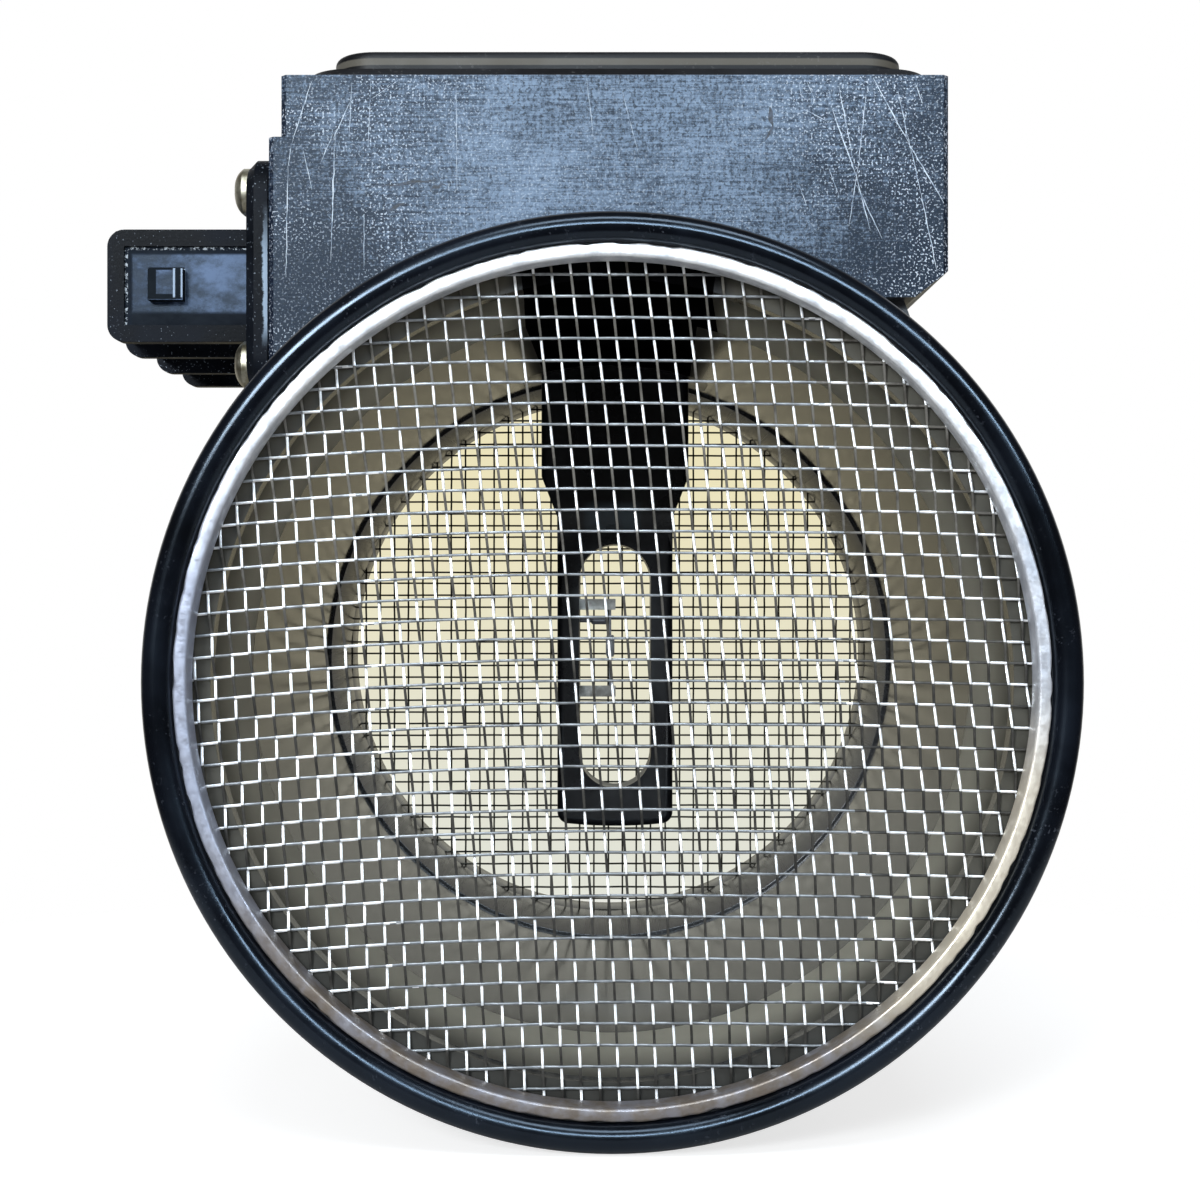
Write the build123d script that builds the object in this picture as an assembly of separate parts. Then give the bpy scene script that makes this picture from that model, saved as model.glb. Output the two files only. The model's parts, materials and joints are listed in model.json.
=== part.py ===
from build123d import *
import os

os.makedirs("parts", exist_ok=True)

# Mass airflow sensor. The air runs along +Y, Z is up, and the electronics box sits on top.
# The origin is on the duct's axis, in the middle of the inlet seal's straight band.

# Clearances
press_gap = 0.05      # between round pieces that are pressed or dropped into each other
slip_gap = 0.2        # round a block that passes through a wall

# Duct
tube_length = 113.0
duct_radius = 40.0
entry_step = 1.2      # the entry is wider than the duct by this
entry_length = 16.2   # from the screen pocket's floor to the step in the wall
entry_taper = 1.2
body_wall = 4.2

# Inlet seal and spigot
seal_length = 16.0
seal_wall = 1.5
seal_lip = 1.6        # rubber in front of the spigot's end
spigot_wall = 6.0
collar_step = 1.2
collar_width = 3.0

# Inlet screen and its retaining ring
ring_recess = 1.0     # ring face behind the rim
ring_width = 1.4
ring_length = 3.1
pocket_wall = 1.65
screen_thickness = 0.7
wire_width = 0.34
row_pitch = 2.19
cross_wire_count = 2
screen_rim = 0.3      # solid edge that shows inside the ring

# Outlet sleeve, screen, ring and spigot
sleeve_pocket = 31.8  # counterbore, from the outlet end to the shoulder in front of the sleeve
sleeve_seam = 0.4
sleeve_wall = 2.2
sleeve_length = 21.8
outlet_ring_length = 8.0
outlet_ring_step = 0.3
outlet_wall = 5.2
outlet_lead = 1.0     # chamfer that guides the hose on
outlet_setback = 1.0  # the spigot starts behind the box by this

# Electronics box, part of the duct's moulding, with its heights above the top of the bore
box_setback = 22.0    # box front behind the inlet rim
left_inset = 3.1      # box sides inside the width of the bore
right_inset = 2.3
box_rise = 26.9
floor_rise = 6.2
right_rise = 2.1
left_rise = -9.5
pad_rise = 20.0
pocket_rise = 0.0
plate_rise = 13.2
box_wall = 2.5
box_corner = 2.0
right_chamfer = 3.0
right_chamfer_width = 3.8
pad_height = 1.4
pocket_width = 5.2
rib_count = 3
rib_width = 2.2
edge_break = 0.6

# Lid and its sealing bead
lid_margin_side = 1.0
lid_margin_end = 2.0
lid_flange = 1.5
lid_rise = 2.8
lid_step = 3.4
lid_offset = 0.4      # the lid sits a little to the right
lid_skin = 1.5
lid_corner = 6.0
lid_lip_depth = 2.0
lid_lip_width = 1.4
bead_seal_width = 1.2
bead_seal_depth = 0.9

# Probe
probe_x = 0.8
probe_inset = 13.0    # probe axis in front of the box's back
stalk_width = 20.1
stalk_thickness = 8.6
stalk_low = 25.2
blade_width = 15.8
blade_thickness = 6.6
blade_top = 19.7
blade_low = -22.7
blade_corner = 1.6
window_width = 9.8
window_top = 15.9
window_low = -17.4
plug_width = 25.2
plug_length = 13.0
plug_corner = 3.0
probe_gasket_thickness = 0.8
probe_flange_width = 41.0
probe_flange_length = 18.0
probe_flange_thickness = 3.0

# Sensing elements in the probe's window
post_length = 5.0
post_height = 1.5
post_thickness = 0.8
post_upper_z = 7.7
post_lower_z = -4.3
lead_radius = 0.16
bobbin_radius = 0.6
bobbin_length = 3.0
bobbin_z = 1.95
thermistor_radius = 0.5
thermistor_length = 2.4
thermistor_lead = 1.6
thermistor_z = 5.4
thermistor_offset = 1.9

# Connector header, with its heights above the top of the bore
gasket_thickness = 0.4
header_flange_thickness = 2.6
header_length = 60.0
header_margin = 2.0   # from the flange's ends to the box's front and back
header_height = 26.8
header_rise = 5.2
header_corner = 4.1
header_edge = 1.0
screw_inset_y = 4.4
screw_inset_z = 3.5
shell_length = 17.8
shell_inset = 9.0     # from the flange's ends to the shell's
shell_low_rise = -0.3
shell_top_rise = 11.8
shell_wall = 1.4
shell_end_wall = 1.8
shell_corner = 2.0
shell_core_setback = 0.8
socket_floor = 1.8
slab_low_rise = -1.4
fin_low_rise = -2.1
slab_width = 2.0
fin_width = 1.6
fin_shares = (0.224, 0.612)
panel_depth = 0.3
panel_frame = 2.0
nub_width = 4.1
nub_height = 3.7
nub_rise = 1.1
nub_from_mouth = 5.0
block_inset = 4.0
block_height = 7.4
block_reach = 4.8

# Terminals and the strips inside
terminal_count = 6
terminal_width = 2.8
terminal_thickness = 0.8
terminal_tip_gap = 2.1
terminal_inner_reach = 2.6
strip_width = 1.2
strip_thickness = 0.3
strip_overlap = 2.0

# Screws, M3
screw_shank = 1.5
screw_head = 2.7
screw_head_height = 1.6
screw_recess = 0.9
header_screw_length = 8.0
probe_screw_length = 7.5
hole_clearance = 0.2
boss_size = 7.0

# Plate, board and what is on it
plate_thickness = 2.0
plate_gap = 0.6
plate_boss_margin = 1.0
plate_window_width = 20.0
plate_window_length = 7.0
post_side = 5.0
board_thickness = 0.8
board_margin = 3.6
board_back_gap = 1.0
probe_lead_count = 4
probe_lead_pitch = 3.6
control_chip_size = (10.0, 10.0, 1.6)
amplifier_chip_size = (6.0, 8.0, 1.6)
resistor_size = (8.0, 5.0, 1.0)
transistor_size = (6.6, 9.0, 2.4)
capacitor_size = (4.4, 3.0, 2.4)

# Places worked out from the sizes above
spigot_radius = duct_radius + spigot_wall
collar_radius = spigot_radius + collar_step
seal_radius = spigot_radius + seal_wall
pocket_radius = spigot_radius - pocket_wall
entry_radius = duct_radius + entry_step
outlet_radius = duct_radius + outlet_wall
outlet_ring_inner_radius = duct_radius - outlet_ring_step
inlet_end = -seal_length / 2
outlet_end = inlet_end + tube_length
spigot_end = inlet_end + seal_lip
ring_radius = pocket_radius - press_gap
ring_inner_radius = ring_radius - ring_width
ring_front = inlet_end + ring_recess
screen_front = ring_front + ring_length
pocket_floor = screen_front + screen_thickness
body_radius = duct_radius + body_wall
sleeve_seat = outlet_end - sleeve_pocket
sleeve_front = sleeve_seat + sleeve_seam
sleeve_radius = duct_radius + sleeve_wall
outlet_screen_front = sleeve_front + sleeve_length
outlet_ring_front = outlet_screen_front + screen_thickness
box_left = left_inset - duct_radius
box_right = duct_radius - right_inset
box_top = duct_radius + box_rise
box_floor = duct_radius + floor_rise
right_low = duct_radius + right_rise
left_low = duct_radius + left_rise
pad_top = duct_radius + pad_rise
pocket_floor_z = duct_radius + pocket_rise
plate_z = duct_radius + plate_rise
box_length = header_length + 2 * header_margin
box_front = inlet_end + box_setback
box_back = box_front + box_length
cavity_left = box_left + box_wall
cavity_right = box_right - box_wall
cavity_front = box_front + box_wall
cavity_back = box_back - box_wall
pad_face = box_left - pad_height
probe_y = box_back - probe_inset
probe_seat = box_floor + probe_gasket_thickness
probe_top = probe_seat + probe_flange_thickness
probe_screw_x = probe_flange_width / 2 - 2 * screw_shank - 1.0
header_face = pad_face - gasket_thickness - header_flange_thickness
header_y = (box_front + box_back) / 2
header_z = duct_radius + header_rise
shell_mouth = header_face - shell_length
shell_span = header_length - 2 * shell_inset
shell_y = header_y
shell_low = duct_radius + shell_low_rise
shell_top = duct_radius + shell_top_rise
slab_low = duct_radius + slab_low_rise
fin_low = duct_radius + fin_low_rise
block_span = shell_span - 2 * block_inset
terminal_pitch = (block_span - terminal_width) / terminal_count
block_end = pad_face + block_reach
terminal_tip = shell_mouth + terminal_tip_gap
terminal_end = block_end + terminal_inner_reach
plate_left = cavity_left + boss_size + plate_boss_margin
plate_right = cavity_right - plate_gap
plate_front = cavity_front + plate_gap
plate_back = cavity_back - plate_gap
board_z = plate_z + plate_thickness
board_top = board_z + board_thickness
board_left = plate_left + board_margin
board_right = plate_right - board_margin
board_front = plate_front + board_margin
board_back = probe_y - plate_window_length / 2 - board_back_gap


def across(y):
    """Plane across the duct at y, with X to the right and Z up."""
    return Plane.XZ.offset(-y)


def along_y(face, length):
    """A solid that runs along +Y from a face drawn across the duct."""
    return extrude(face, amount=-length)


def block(x0, x1, y0, y1, z0, z1):
    """A square block between three pairs of planes."""
    return Pos((x0 + x1) / 2, (y0 + y1) / 2, (z0 + z1) / 2) * Box(x1 - x0, y1 - y0, z1 - z0)


def round_block(x0, x1, y0, y1, z0, z1, radius):
    """A block with rounded upright corners."""
    place = Pos((x0 + x1) / 2, (y0 + y1) / 2, z0)
    return extrude(place * RectangleRounded(x1 - x0, y1 - y0, radius), amount=z1 - z0)


def side_block(x0, x1, y, z, span, height, radius):
    """A block along X with rounded corners, centred on y and z."""
    plane = Plane(origin=(x0, y, z), x_dir=(0, 1, 0), z_dir=(1, 0, 0))
    return extrude(plane * RectangleRounded(span, height, radius), amount=x1 - x0)


def turned(*points):
    """A solid turned about the duct's axis from the points of its half section."""
    return revolve(make_face(Polyline(*points, close=True)), Axis.Y)


def duct_outside():
    """Outer form of the tube: spigot, collar, body and outlet spigot."""
    collar_front = inlet_end + seal_length
    return turned(
        (0, spigot_end),
        (spigot_radius, spigot_end),
        (spigot_radius, collar_front),
        (collar_radius, collar_front),
        (collar_radius, collar_front + collar_width),
        (body_radius, collar_front + collar_width),
        (body_radius, box_back + outlet_setback),
        (outlet_radius, box_back + outlet_setback),
        (outlet_radius, outlet_end - outlet_lead),
        (outlet_radius - outlet_lead, outlet_end),
        (0, outlet_end),
    )


def duct_inside():
    """What is bored out of the tube, from the screen pocket to the sleeve's counterbore."""
    step = pocket_floor + entry_length
    return turned(
        (0, spigot_end - 1.0),
        (pocket_radius, spigot_end - 1.0),
        (pocket_radius, pocket_floor),
        (entry_radius, pocket_floor),
        (entry_radius, step),
        (duct_radius, step + entry_taper),
        (duct_radius, sleeve_seat),
        (sleeve_radius + press_gap, sleeve_seat),
        (sleeve_radius + press_gap, outlet_end + 1.0),
        (0, outlet_end + 1.0),
    )


def box_outside():
    """The electronics box as a prism that sinks into the tube, with its side pad."""
    chamfer_foot = box_right - right_chamfer_width
    inside_x = duct_radius * 0.5
    outline = Polyline(
        (box_left, box_top),
        (box_left, pad_top),
        (pad_face, pad_top),
        (pad_face, left_low),
        (-inside_x, left_low),
        (0, left_low),
        (0, right_low),
        (chamfer_foot, right_low),
        (box_right, right_low + right_chamfer),
        (box_right, box_top),
        close=True,
    )
    prism = along_y(across(box_front) * make_face(outline), box_length)
    upright = prism.edges().filter_by(Axis.Z)
    outer = [e for e in upright if abs(e.center().X) > duct_radius * 0.8]
    return chamfer(outer, edge_break)


def underside_ribs():
    """Webs that carry the box's right side on the tube."""
    solids = []
    span = box_length - 2 * box_wall - rib_width
    for i in range(rib_count):
        y = box_front + box_wall + span * i / (rib_count - 1)
        web = Polyline(
            (box_right - right_chamfer_width - 1.0, right_low + 0.5),
            (body_radius - 1.5, duct_radius * 0.4),
            (duct_radius * 0.5, duct_radius * 0.8),
            (duct_radius * 0.5, right_low + 0.5),
            close=True,
        )
        solids.append(along_y(across(y) * make_face(web), rib_width))
    return solids


def header_screw_places():
    """Y and Z of the four screws of the connector's flange."""
    reach_y = header_length / 2 - screw_inset_y
    reach_z = header_height / 2 - screw_inset_z
    return [(header_y + a * reach_y, header_z + b * reach_z) for a in (-1, 1) for b in (-1, 1)]


def make_housing():
    """Tube and box in one black moulding."""
    body = duct_outside() + box_outside()
    for rib in underside_ribs():
        body += rib
    cavity = round_block(
        cavity_left, cavity_right, cavity_front, cavity_back, box_floor, box_top + 1, box_corner)
    pocket_right = cavity_left + pocket_width
    cavity += round_block(
        cavity_left, pocket_right, cavity_front, cavity_back, pocket_floor_z, box_top, box_corner)
    body -= cavity

    # screw bosses against the left wall, at the upper screws of the connector
    boss_top = header_z + header_height / 2
    for y, z in header_screw_places():
        if z > header_z:
            y0 = max(y - boss_size / 2, cavity_front - 1.0)
            y1 = min(y + boss_size / 2, cavity_back + 1.0)
            x1 = cavity_left + boss_size
            body += block(cavity_left - 1.0, x1, y0, y1, pocket_floor_z - 1.0, boss_top)

    # posts under the plate
    for x in (plate_left + post_side / 2, cavity_right - post_side / 2):
        for y in (cavity_front + boss_size + post_side, cavity_back - boss_size - post_side):
            half = post_side / 2
            body += block(x - half, x + half, y - half, y + half, box_floor - 1.0, plate_z)

    body -= duct_inside()

    # mouth of the probe, from the duct's roof to the box's floor
    roof = duct_radius * 0.6
    mouth_x = plug_width / 2 + press_gap
    mouth_y = plug_length / 2 + press_gap
    body -= round_block(
        probe_x - mouth_x, probe_x + mouth_x, probe_y - mouth_y, probe_y + mouth_y,
        roof, box_floor + 0.5, plug_corner)
    for side in (-1, 1):
        hole = Pos(probe_x + side * probe_screw_x, probe_y, box_floor)
        depth = probe_screw_length - probe_flange_thickness + 1.0
        body -= hole * Cylinder(screw_shank + press_gap, 2 * depth)

    # window and screw holes of the connector
    body -= side_block(
        pad_face - 1.0, cavity_left + 0.5, shell_y, header_z,
        block_span + 2 * slip_gap, block_height + 2 * slip_gap, 1.0)
    for y, z in header_screw_places():
        hole = Pos(pad_face, y, z) * Rot(0, 90, 0)
        body -= hole * Cylinder(screw_shank + press_gap, 2 * (header_screw_length - 1.0))

    # groove in the rim for the lid's sealing bead
    body -= sealing_bead(slip_gap / 4)
    return body


def sealing_bead(gap):
    """The square ring of sealing compound in the rim, with a gap all round it."""
    inset = (box_wall - bead_seal_width) / 2
    low = box_top - bead_seal_depth - gap
    top = box_top + (1.0 if gap else 0)
    a = inset - gap
    b = inset + bead_seal_width + gap
    outer = round_block(
        box_left + a, box_right - a, box_front + a, box_back - a, low, top, box_corner + box_wall - a)
    inner = round_block(
        box_left + b, box_right - b, box_front + b, box_back - b, low, top, box_corner + box_wall - b)
    return outer - inner


def make_inlet_seal():
    """Rubber ring that wraps the inlet spigot's end, with a half-round lip."""
    inner = pocket_radius + press_gap
    middle = (inner + seal_radius) / 2
    half = (seal_radius - inner) / 2
    root = spigot_radius + press_gap
    back = inlet_end + seal_length
    lip = ThreePointArc((inner, inlet_end + half), (middle, inlet_end), (seal_radius, inlet_end + half))
    rest = Polyline(
        (seal_radius, inlet_end + half),
        (seal_radius, back - seal_lip),
        (seal_radius - seal_wall * 0.6, back),
        (root, back),
        (root, spigot_end),
        (inner, spigot_end),
        (inner, inlet_end + half),
    )
    return revolve(make_face(lip + rest), Axis.Y)


def make_inlet_ring():
    """Aluminium ring that holds the inlet screen in its pocket."""
    break_ = ring_width * 0.25
    return turned(
        (ring_inner_radius + break_, ring_front),
        (ring_radius - break_, ring_front),
        (ring_radius, ring_front + break_),
        (ring_radius, screen_front),
        (ring_inner_radius, screen_front),
        (ring_inner_radius, ring_front + break_),
    )


def screen(radius, clear_radius, y, turn):
    """Wire cloth as one wall: slots at the cloth's pitch, held by cross wires and a rim."""
    rows = int(2 * clear_radius / row_pitch)
    slot_height = row_pitch - wire_width
    columns = cross_wire_count + 1
    column_width = 2 * clear_radius / columns
    slots = Sketch() + [
        Pos((c - (columns - 1) / 2) * column_width, (r - (rows - 1) / 2) * row_pitch)
        * Rectangle(column_width - wire_width, slot_height)
        for c in range(columns)
        for r in range(rows)
    ]
    slots = slots & Circle(clear_radius)
    cloth = Circle(radius) - slots
    return along_y(across(y) * (Rot(0, 0, turn) * cloth), screen_thickness)


def make_inlet_screen():
    """Wire cloth behind the inlet ring."""
    radius = pocket_radius - 3 * press_gap
    return screen(radius, ring_inner_radius - screen_rim, screen_front, 0)


def make_outlet_screen():
    """The same cloth turned a quarter, between the outlet sleeve and its ring."""
    radius = sleeve_radius - 2 * press_gap
    return screen(radius, duct_radius - screen_rim, outlet_screen_front, 90)


def make_outlet_sleeve():
    """Smooth black liner in the outlet's counterbore."""
    back = outlet_screen_front
    return turned(
        (duct_radius + 0.3, sleeve_front),
        (sleeve_radius, sleeve_front),
        (sleeve_radius, back),
        (duct_radius, back),
        (duct_radius, sleeve_front + 0.3),
    )


def make_outlet_ring():
    """Aluminium ring behind the outlet screen."""
    back = outlet_ring_front + outlet_ring_length
    inner = outlet_ring_inner_radius
    return turned(
        (inner, outlet_ring_front),
        (sleeve_radius, outlet_ring_front),
        (sleeve_radius, back - 0.4),
        (sleeve_radius - 0.4, back),
        (inner + 0.4, back),
        (inner, back - 0.4),
    )


def blade_outline():
    """Front outline of stalk, shoulders and blade, with a slightly round tip."""
    stalk = stalk_width / 2
    blade = blade_width / 2
    tip = blade_low + 0.5
    sides = Polyline(
        (-blade, tip), (-blade, blade_top), (-stalk, stalk_low), (-stalk, box_floor),
        (stalk, box_floor), (stalk, stalk_low), (blade, blade_top), (blade, tip))
    foot = ThreePointArc((-blade, tip), (0, blade_low), (blade, tip))
    face = make_face(sides + foot)
    corners = [v for v in face.vertices() if v.Y < tip + 0.1]
    return fillet(corners, blade_corner)


def side_outline():
    """Side outline of the probe: the stalk is thicker, and a slope leads to the blade."""
    stalk = stalk_thickness / 2
    blade = blade_thickness / 2
    return make_face(Polyline(
        (-blade, blade_low - 1), (-blade, blade_top - 2.2), (-stalk, blade_top + 1.2),
        (-stalk, box_floor + 1), (stalk, box_floor + 1), (stalk, blade_top + 1.2),
        (blade, blade_top - 2.2), (blade, blade_low - 1), close=True))


def make_probe():
    """Sensor carrier: flange in the box, plug in the duct's roof, stalk and windowed blade."""
    deep = stalk_thickness + 2
    front = along_y(across(-deep / 2) * blade_outline(), deep)
    side_plane = Plane(origin=(-stalk_width, 0, 0), x_dir=(0, 1, 0), z_dir=(1, 0, 0))
    side = extrude(side_plane * side_outline(), amount=2 * stalk_width)
    paddle = front & side
    upright = paddle.edges().filter_by(Axis.Z)
    paddle = fillet([e for e in upright if e.length > blade_width / 2], 1.2)
    paddle = Pos(probe_x, probe_y, 0) * paddle

    x0 = probe_x - plug_width / 2
    x1 = probe_x + plug_width / 2
    y0 = probe_y - plug_length / 2
    y1 = probe_y + plug_length / 2
    plug = round_block(x0, x1, y0, y1, duct_radius * 0.8, probe_seat, plug_corner - press_gap)
    bore = along_y(across(probe_y - plug_length) * Circle(duct_radius), 2 * plug_length)
    plug -= bore
    flange = round_block(
        probe_x - probe_flange_width / 2, probe_x + probe_flange_width / 2,
        probe_y - probe_flange_length / 2, probe_y + probe_flange_length / 2,
        probe_seat, probe_top, plug_corner)
    body = paddle + plug + flange
    for side_sign in (-1, 1):
        hole = Pos(probe_x + side_sign * probe_screw_x, probe_y, probe_top)
        body -= hole * Cylinder(screw_shank + hole_clearance, 3 * probe_flange_thickness)
    height = window_top - window_low
    slot = Pos(probe_x, (window_top + window_low) / 2) * SlotOverall(height, window_width, 90)
    return body - along_y(across(probe_y - deep) * slot, 2 * deep)


def make_probe_gasket():
    """Flat gasket between the probe's flange and the box's floor."""
    sheet = round_block(
        probe_x - probe_flange_width / 2, probe_x + probe_flange_width / 2,
        probe_y - probe_flange_length / 2, probe_y + probe_flange_length / 2,
        box_floor, probe_seat, plug_corner)
    mouth_x = plug_width / 2 + slip_gap
    mouth_y = plug_length / 2 + slip_gap
    sheet -= round_block(
        probe_x - mouth_x, probe_x + mouth_x, probe_y - mouth_y, probe_y + mouth_y,
        box_floor - 1, probe_seat + 1, plug_corner)
    for side in (-1, 1):
        hole = Pos(probe_x + side * probe_screw_x, probe_y, box_floor)
        sheet -= hole * Cylinder(screw_shank + hole_clearance, 4)
    return sheet


def pan_screw(length):
    """Pan-head screw with a cross recess, head towards +Z and its seat at zero."""
    head = ThreePointArc(
        (screw_head, screw_head_height * 0.45),
        (screw_head * 0.75, screw_head_height * 0.88),
        (0, screw_head_height))
    rest = Polyline(
        (0, screw_head_height), (0, -length), (screw_shank * 0.6, -length),
        (screw_shank, -length + 0.8), (screw_shank, 0), (screw_head, 0),
        (screw_head, screw_head_height * 0.45))
    body = revolve(make_face(Plane.XZ * (head + rest)), Axis.Z)
    for turn in (0, 90):
        arm = Box(screw_head * 1.1, 0.7, 2 * screw_recess)
        body -= Pos(0, 0, screw_head_height) * Rot(0, 0, turn) * arm
    return body


def make_header_screw(y, z):
    """Screw through the connector's flange, pointing along +X."""
    return Pos(header_face, y, z) * Rot(0, -90, 0) * pan_screw(header_screw_length)


def make_probe_screw(side):
    """Screw through the probe's flange into the box's floor."""
    place = Pos(probe_x + side * probe_screw_x, probe_y, probe_top)
    return place * pan_screw(probe_screw_length)


def window_left():
    """X of the window's straight left wall."""
    return probe_x - window_width / 2


def make_post(z):
    """Flat metal post that stands out of the window's left wall."""
    x0 = window_left()
    half_y = post_thickness / 2
    half_z = post_height / 2
    return block(x0, x0 + post_length, probe_y - half_y, probe_y + half_y, z - half_z, z + half_z)


def make_hot_element():
    """Heated element: a wound ceramic bobbin with a fine lead to each post."""
    upper = post_upper_z - post_height / 2
    lower = post_lower_z + post_height / 2
    half = bobbin_length / 2
    neck = 0.35
    wave = Polyline(
        (0, lower), (lead_radius, lower), (lead_radius, bobbin_z - half),
        (bobbin_radius - 0.15, bobbin_z - half), (bobbin_radius, bobbin_z - half + neck),
        (bobbin_radius, bobbin_z + half - neck), (bobbin_radius - 0.15, bobbin_z + half),
        (lead_radius, bobbin_z + half), (lead_radius, upper), (0, upper), close=True)
    body = revolve(make_face(Plane.XZ * wave), Axis.Z)
    return Pos(window_left() + post_length - post_height / 2, probe_y, 0) * body


def make_temperature_element():
    """Air temperature element on its own lead, behind the heated one."""
    x0 = window_left()
    bulb_start = x0 + thermistor_lead
    lead = Cylinder(lead_radius * 1.4, thermistor_lead + thermistor_length / 2)
    lead = Rot(0, 90, 0) * lead
    place = Pos(x0 + (thermistor_lead + thermistor_length / 2) / 2, 0, 0)
    bulb = Rot(0, 90, 0) * Cylinder(thermistor_radius, thermistor_length)
    bulb = fillet(bulb.edges(), thermistor_radius * 0.7)
    body = place * lead + Pos(bulb_start + thermistor_length / 2, 0, 0) * bulb
    return Pos(0, probe_y + thermistor_offset, thermistor_z) * body


def terminal_y(n):
    """Y of the terminal with this number, counted from the inlet side."""
    return shell_y + (n - (terminal_count - 1) / 2) * terminal_pitch


def shell_slab(y0, width, low):
    """One wall or fin of the shell across Y, with rounded corners at the mouth."""
    face = make_face(Polyline(
        (header_face + 0.5, low), (shell_mouth, low), (shell_mouth, shell_top),
        (header_face + 0.5, shell_top), close=True))
    corners = [v for v in face.vertices() if v.X < shell_mouth + 0.1]
    return along_y(across(y0) * fillet(corners, shell_corner), width)


def make_connector_header():
    """Black header: screwed flange, ribbed shell with latch nubs, block with terminal slots."""
    flange_back = pad_face - gasket_thickness
    flange = side_block(
        header_face, flange_back, header_y, header_z, header_length, header_height, header_corner)
    rim = flange.faces().sort_by(Axis.X)[0].edges()
    body = chamfer(rim, header_edge)

    height = shell_top - shell_low
    middle = (shell_top + shell_low) / 2
    core_mouth = shell_mouth + shell_core_setback
    body += side_block(core_mouth, header_face + 0.5, shell_y, middle, shell_span, height, 1.2)
    y_front = shell_y - shell_span / 2
    y_back = shell_y + shell_span / 2
    body += shell_slab(y_front, slab_width, slab_low)
    body += shell_slab(y_back - slab_width, slab_width, fin_low)
    for share in fin_shares:
        body += shell_slab(y_front + share * shell_span - fin_width / 2, fin_width, fin_low)

    # recessed panels and latch nubs on both end walls
    panel_x0 = shell_mouth + panel_frame
    panel_low = slab_low + panel_frame
    panel_top = shell_top - panel_frame
    nub_x = shell_mouth + nub_from_mouth + nub_width / 2
    for y, sign in ((y_front, -1), (y_back, 1)):
        y0, y1 = sorted((y + sign * 0.5, y - sign * panel_depth))
        body -= block(panel_x0, header_face, y0, y1, panel_low, panel_top)
        y0, y1 = sorted((y - sign * slab_width / 2, y + sign * nub_rise))
        half_x = nub_width / 2
        half_z = nub_height / 2
        body += block(nub_x - half_x, nub_x + half_x, y0, y1, header_z - half_z, header_z + half_z)

    # socket and the block behind it
    body -= side_block(
        shell_mouth - 1, header_face - socket_floor, shell_y, middle,
        shell_span - 2 * shell_end_wall, height - 2 * shell_wall, 0.8)
    body += side_block(
        flange_back - 0.5, block_end, shell_y, header_z, block_span, block_height, 0.9)
    for n in range(terminal_count):
        y = terminal_y(n)
        half_y = terminal_width / 2 + press_gap
        half_z = terminal_thickness / 2 + press_gap
        body -= block(
            shell_mouth, block_end + 1, y - half_y, y + half_y, middle - half_z, middle + half_z)
    for y, z in header_screw_places():
        hole = Pos(header_face, y, z) * Rot(0, 90, 0)
        body -= hole * Cylinder(screw_shank + hole_clearance, 4 * header_flange_thickness)
    return body


def make_connector_gasket():
    """Thin gasket between the connector's flange and the side pad."""
    margin = header_edge * 0.5
    sheet = side_block(
        pad_face - gasket_thickness, pad_face, header_y, header_z,
        header_length - 2 * margin, header_height - 2 * margin, header_corner - margin)
    sheet -= side_block(
        pad_face - 2, pad_face + 2, shell_y, header_z,
        block_span + 2 * slip_gap, block_height + 2 * slip_gap, 1.0)
    for y, z in header_screw_places():
        hole = Pos(pad_face, y, z) * Rot(0, 90, 0)
        sheet -= hole * Cylinder(screw_shank + hole_clearance, 4)
    return sheet


def make_terminal(n):
    """Flat tinned terminal with a tapered tip."""
    middle = (shell_top + shell_low) / 2
    half = terminal_width / 2
    taper = half * 0.5
    outline = Polyline(
        (terminal_tip, -taper), (terminal_tip + 1.5, -half), (terminal_end, -half),
        (terminal_end, half), (terminal_tip + 1.5, half), (terminal_tip, taper), close=True)
    low = middle - terminal_thickness / 2
    return Pos(0, terminal_y(n), low) * extrude(make_face(outline), amount=terminal_thickness)


def make_terminal_strip(n):
    """Copper strip from a terminal's inner end up and over to the board."""
    top = (shell_top + shell_low) / 2 + terminal_thickness / 2
    x0 = terminal_end - 1.0
    over = board_top + strip_thickness
    path = Polyline(
        (x0, top), (x0 + strip_thickness, top), (x0 + strip_thickness, board_top),
        (board_left + strip_overlap, board_top), (board_left + strip_overlap, over),
        (x0, over), close=True)
    y = terminal_y(n) - strip_width / 2
    return along_y(across(y) * make_face(path), strip_width)


def make_probe_lead(n):
    """Copper strip from the probe's head through the plate's window to the board."""
    x = probe_x + (n - (probe_lead_count - 1) / 2) * probe_lead_pitch
    y0 = probe_y - plate_window_length / 2 + 1.2
    over = board_top + strip_thickness
    plane = Plane(origin=(x - strip_width / 2, 0, 0), x_dir=(0, 1, 0), z_dir=(1, 0, 0))
    path = Polyline(
        (y0, probe_top), (y0 + strip_thickness, probe_top), (y0 + strip_thickness, over),
        (board_back - strip_overlap, over), (board_back - strip_overlap, board_top),
        (y0, board_top), close=True)
    return extrude(plane * make_face(path), amount=strip_width)


def make_base_plate():
    """Aluminium plate that carries the board and spreads its heat."""
    sheet = round_block(
        plate_left, plate_right, plate_front, plate_back, plate_z, board_z, box_corner)
    half_x = plate_window_width / 2
    half_y = plate_window_length / 2
    return sheet - round_block(
        probe_x - half_x, probe_x + half_x, probe_y - half_y, probe_y + half_y,
        plate_z - 1, board_z + 1, 1.0)


def make_circuit_board():
    """Ceramic board bonded to the plate."""
    return block(board_left, board_right, board_front, board_back, board_z, board_top)


def on_board(u, v, size):
    """A part on the board, placed by its share of the board's length and width."""
    length, width, height = size
    x = board_left + u * (board_right - board_left)
    y = board_front + v * (board_back - board_front)
    half_x = length / 2
    half_y = width / 2
    return block(x - half_x, x + half_x, y - half_y, y + half_y, board_top, board_top + height)


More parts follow.
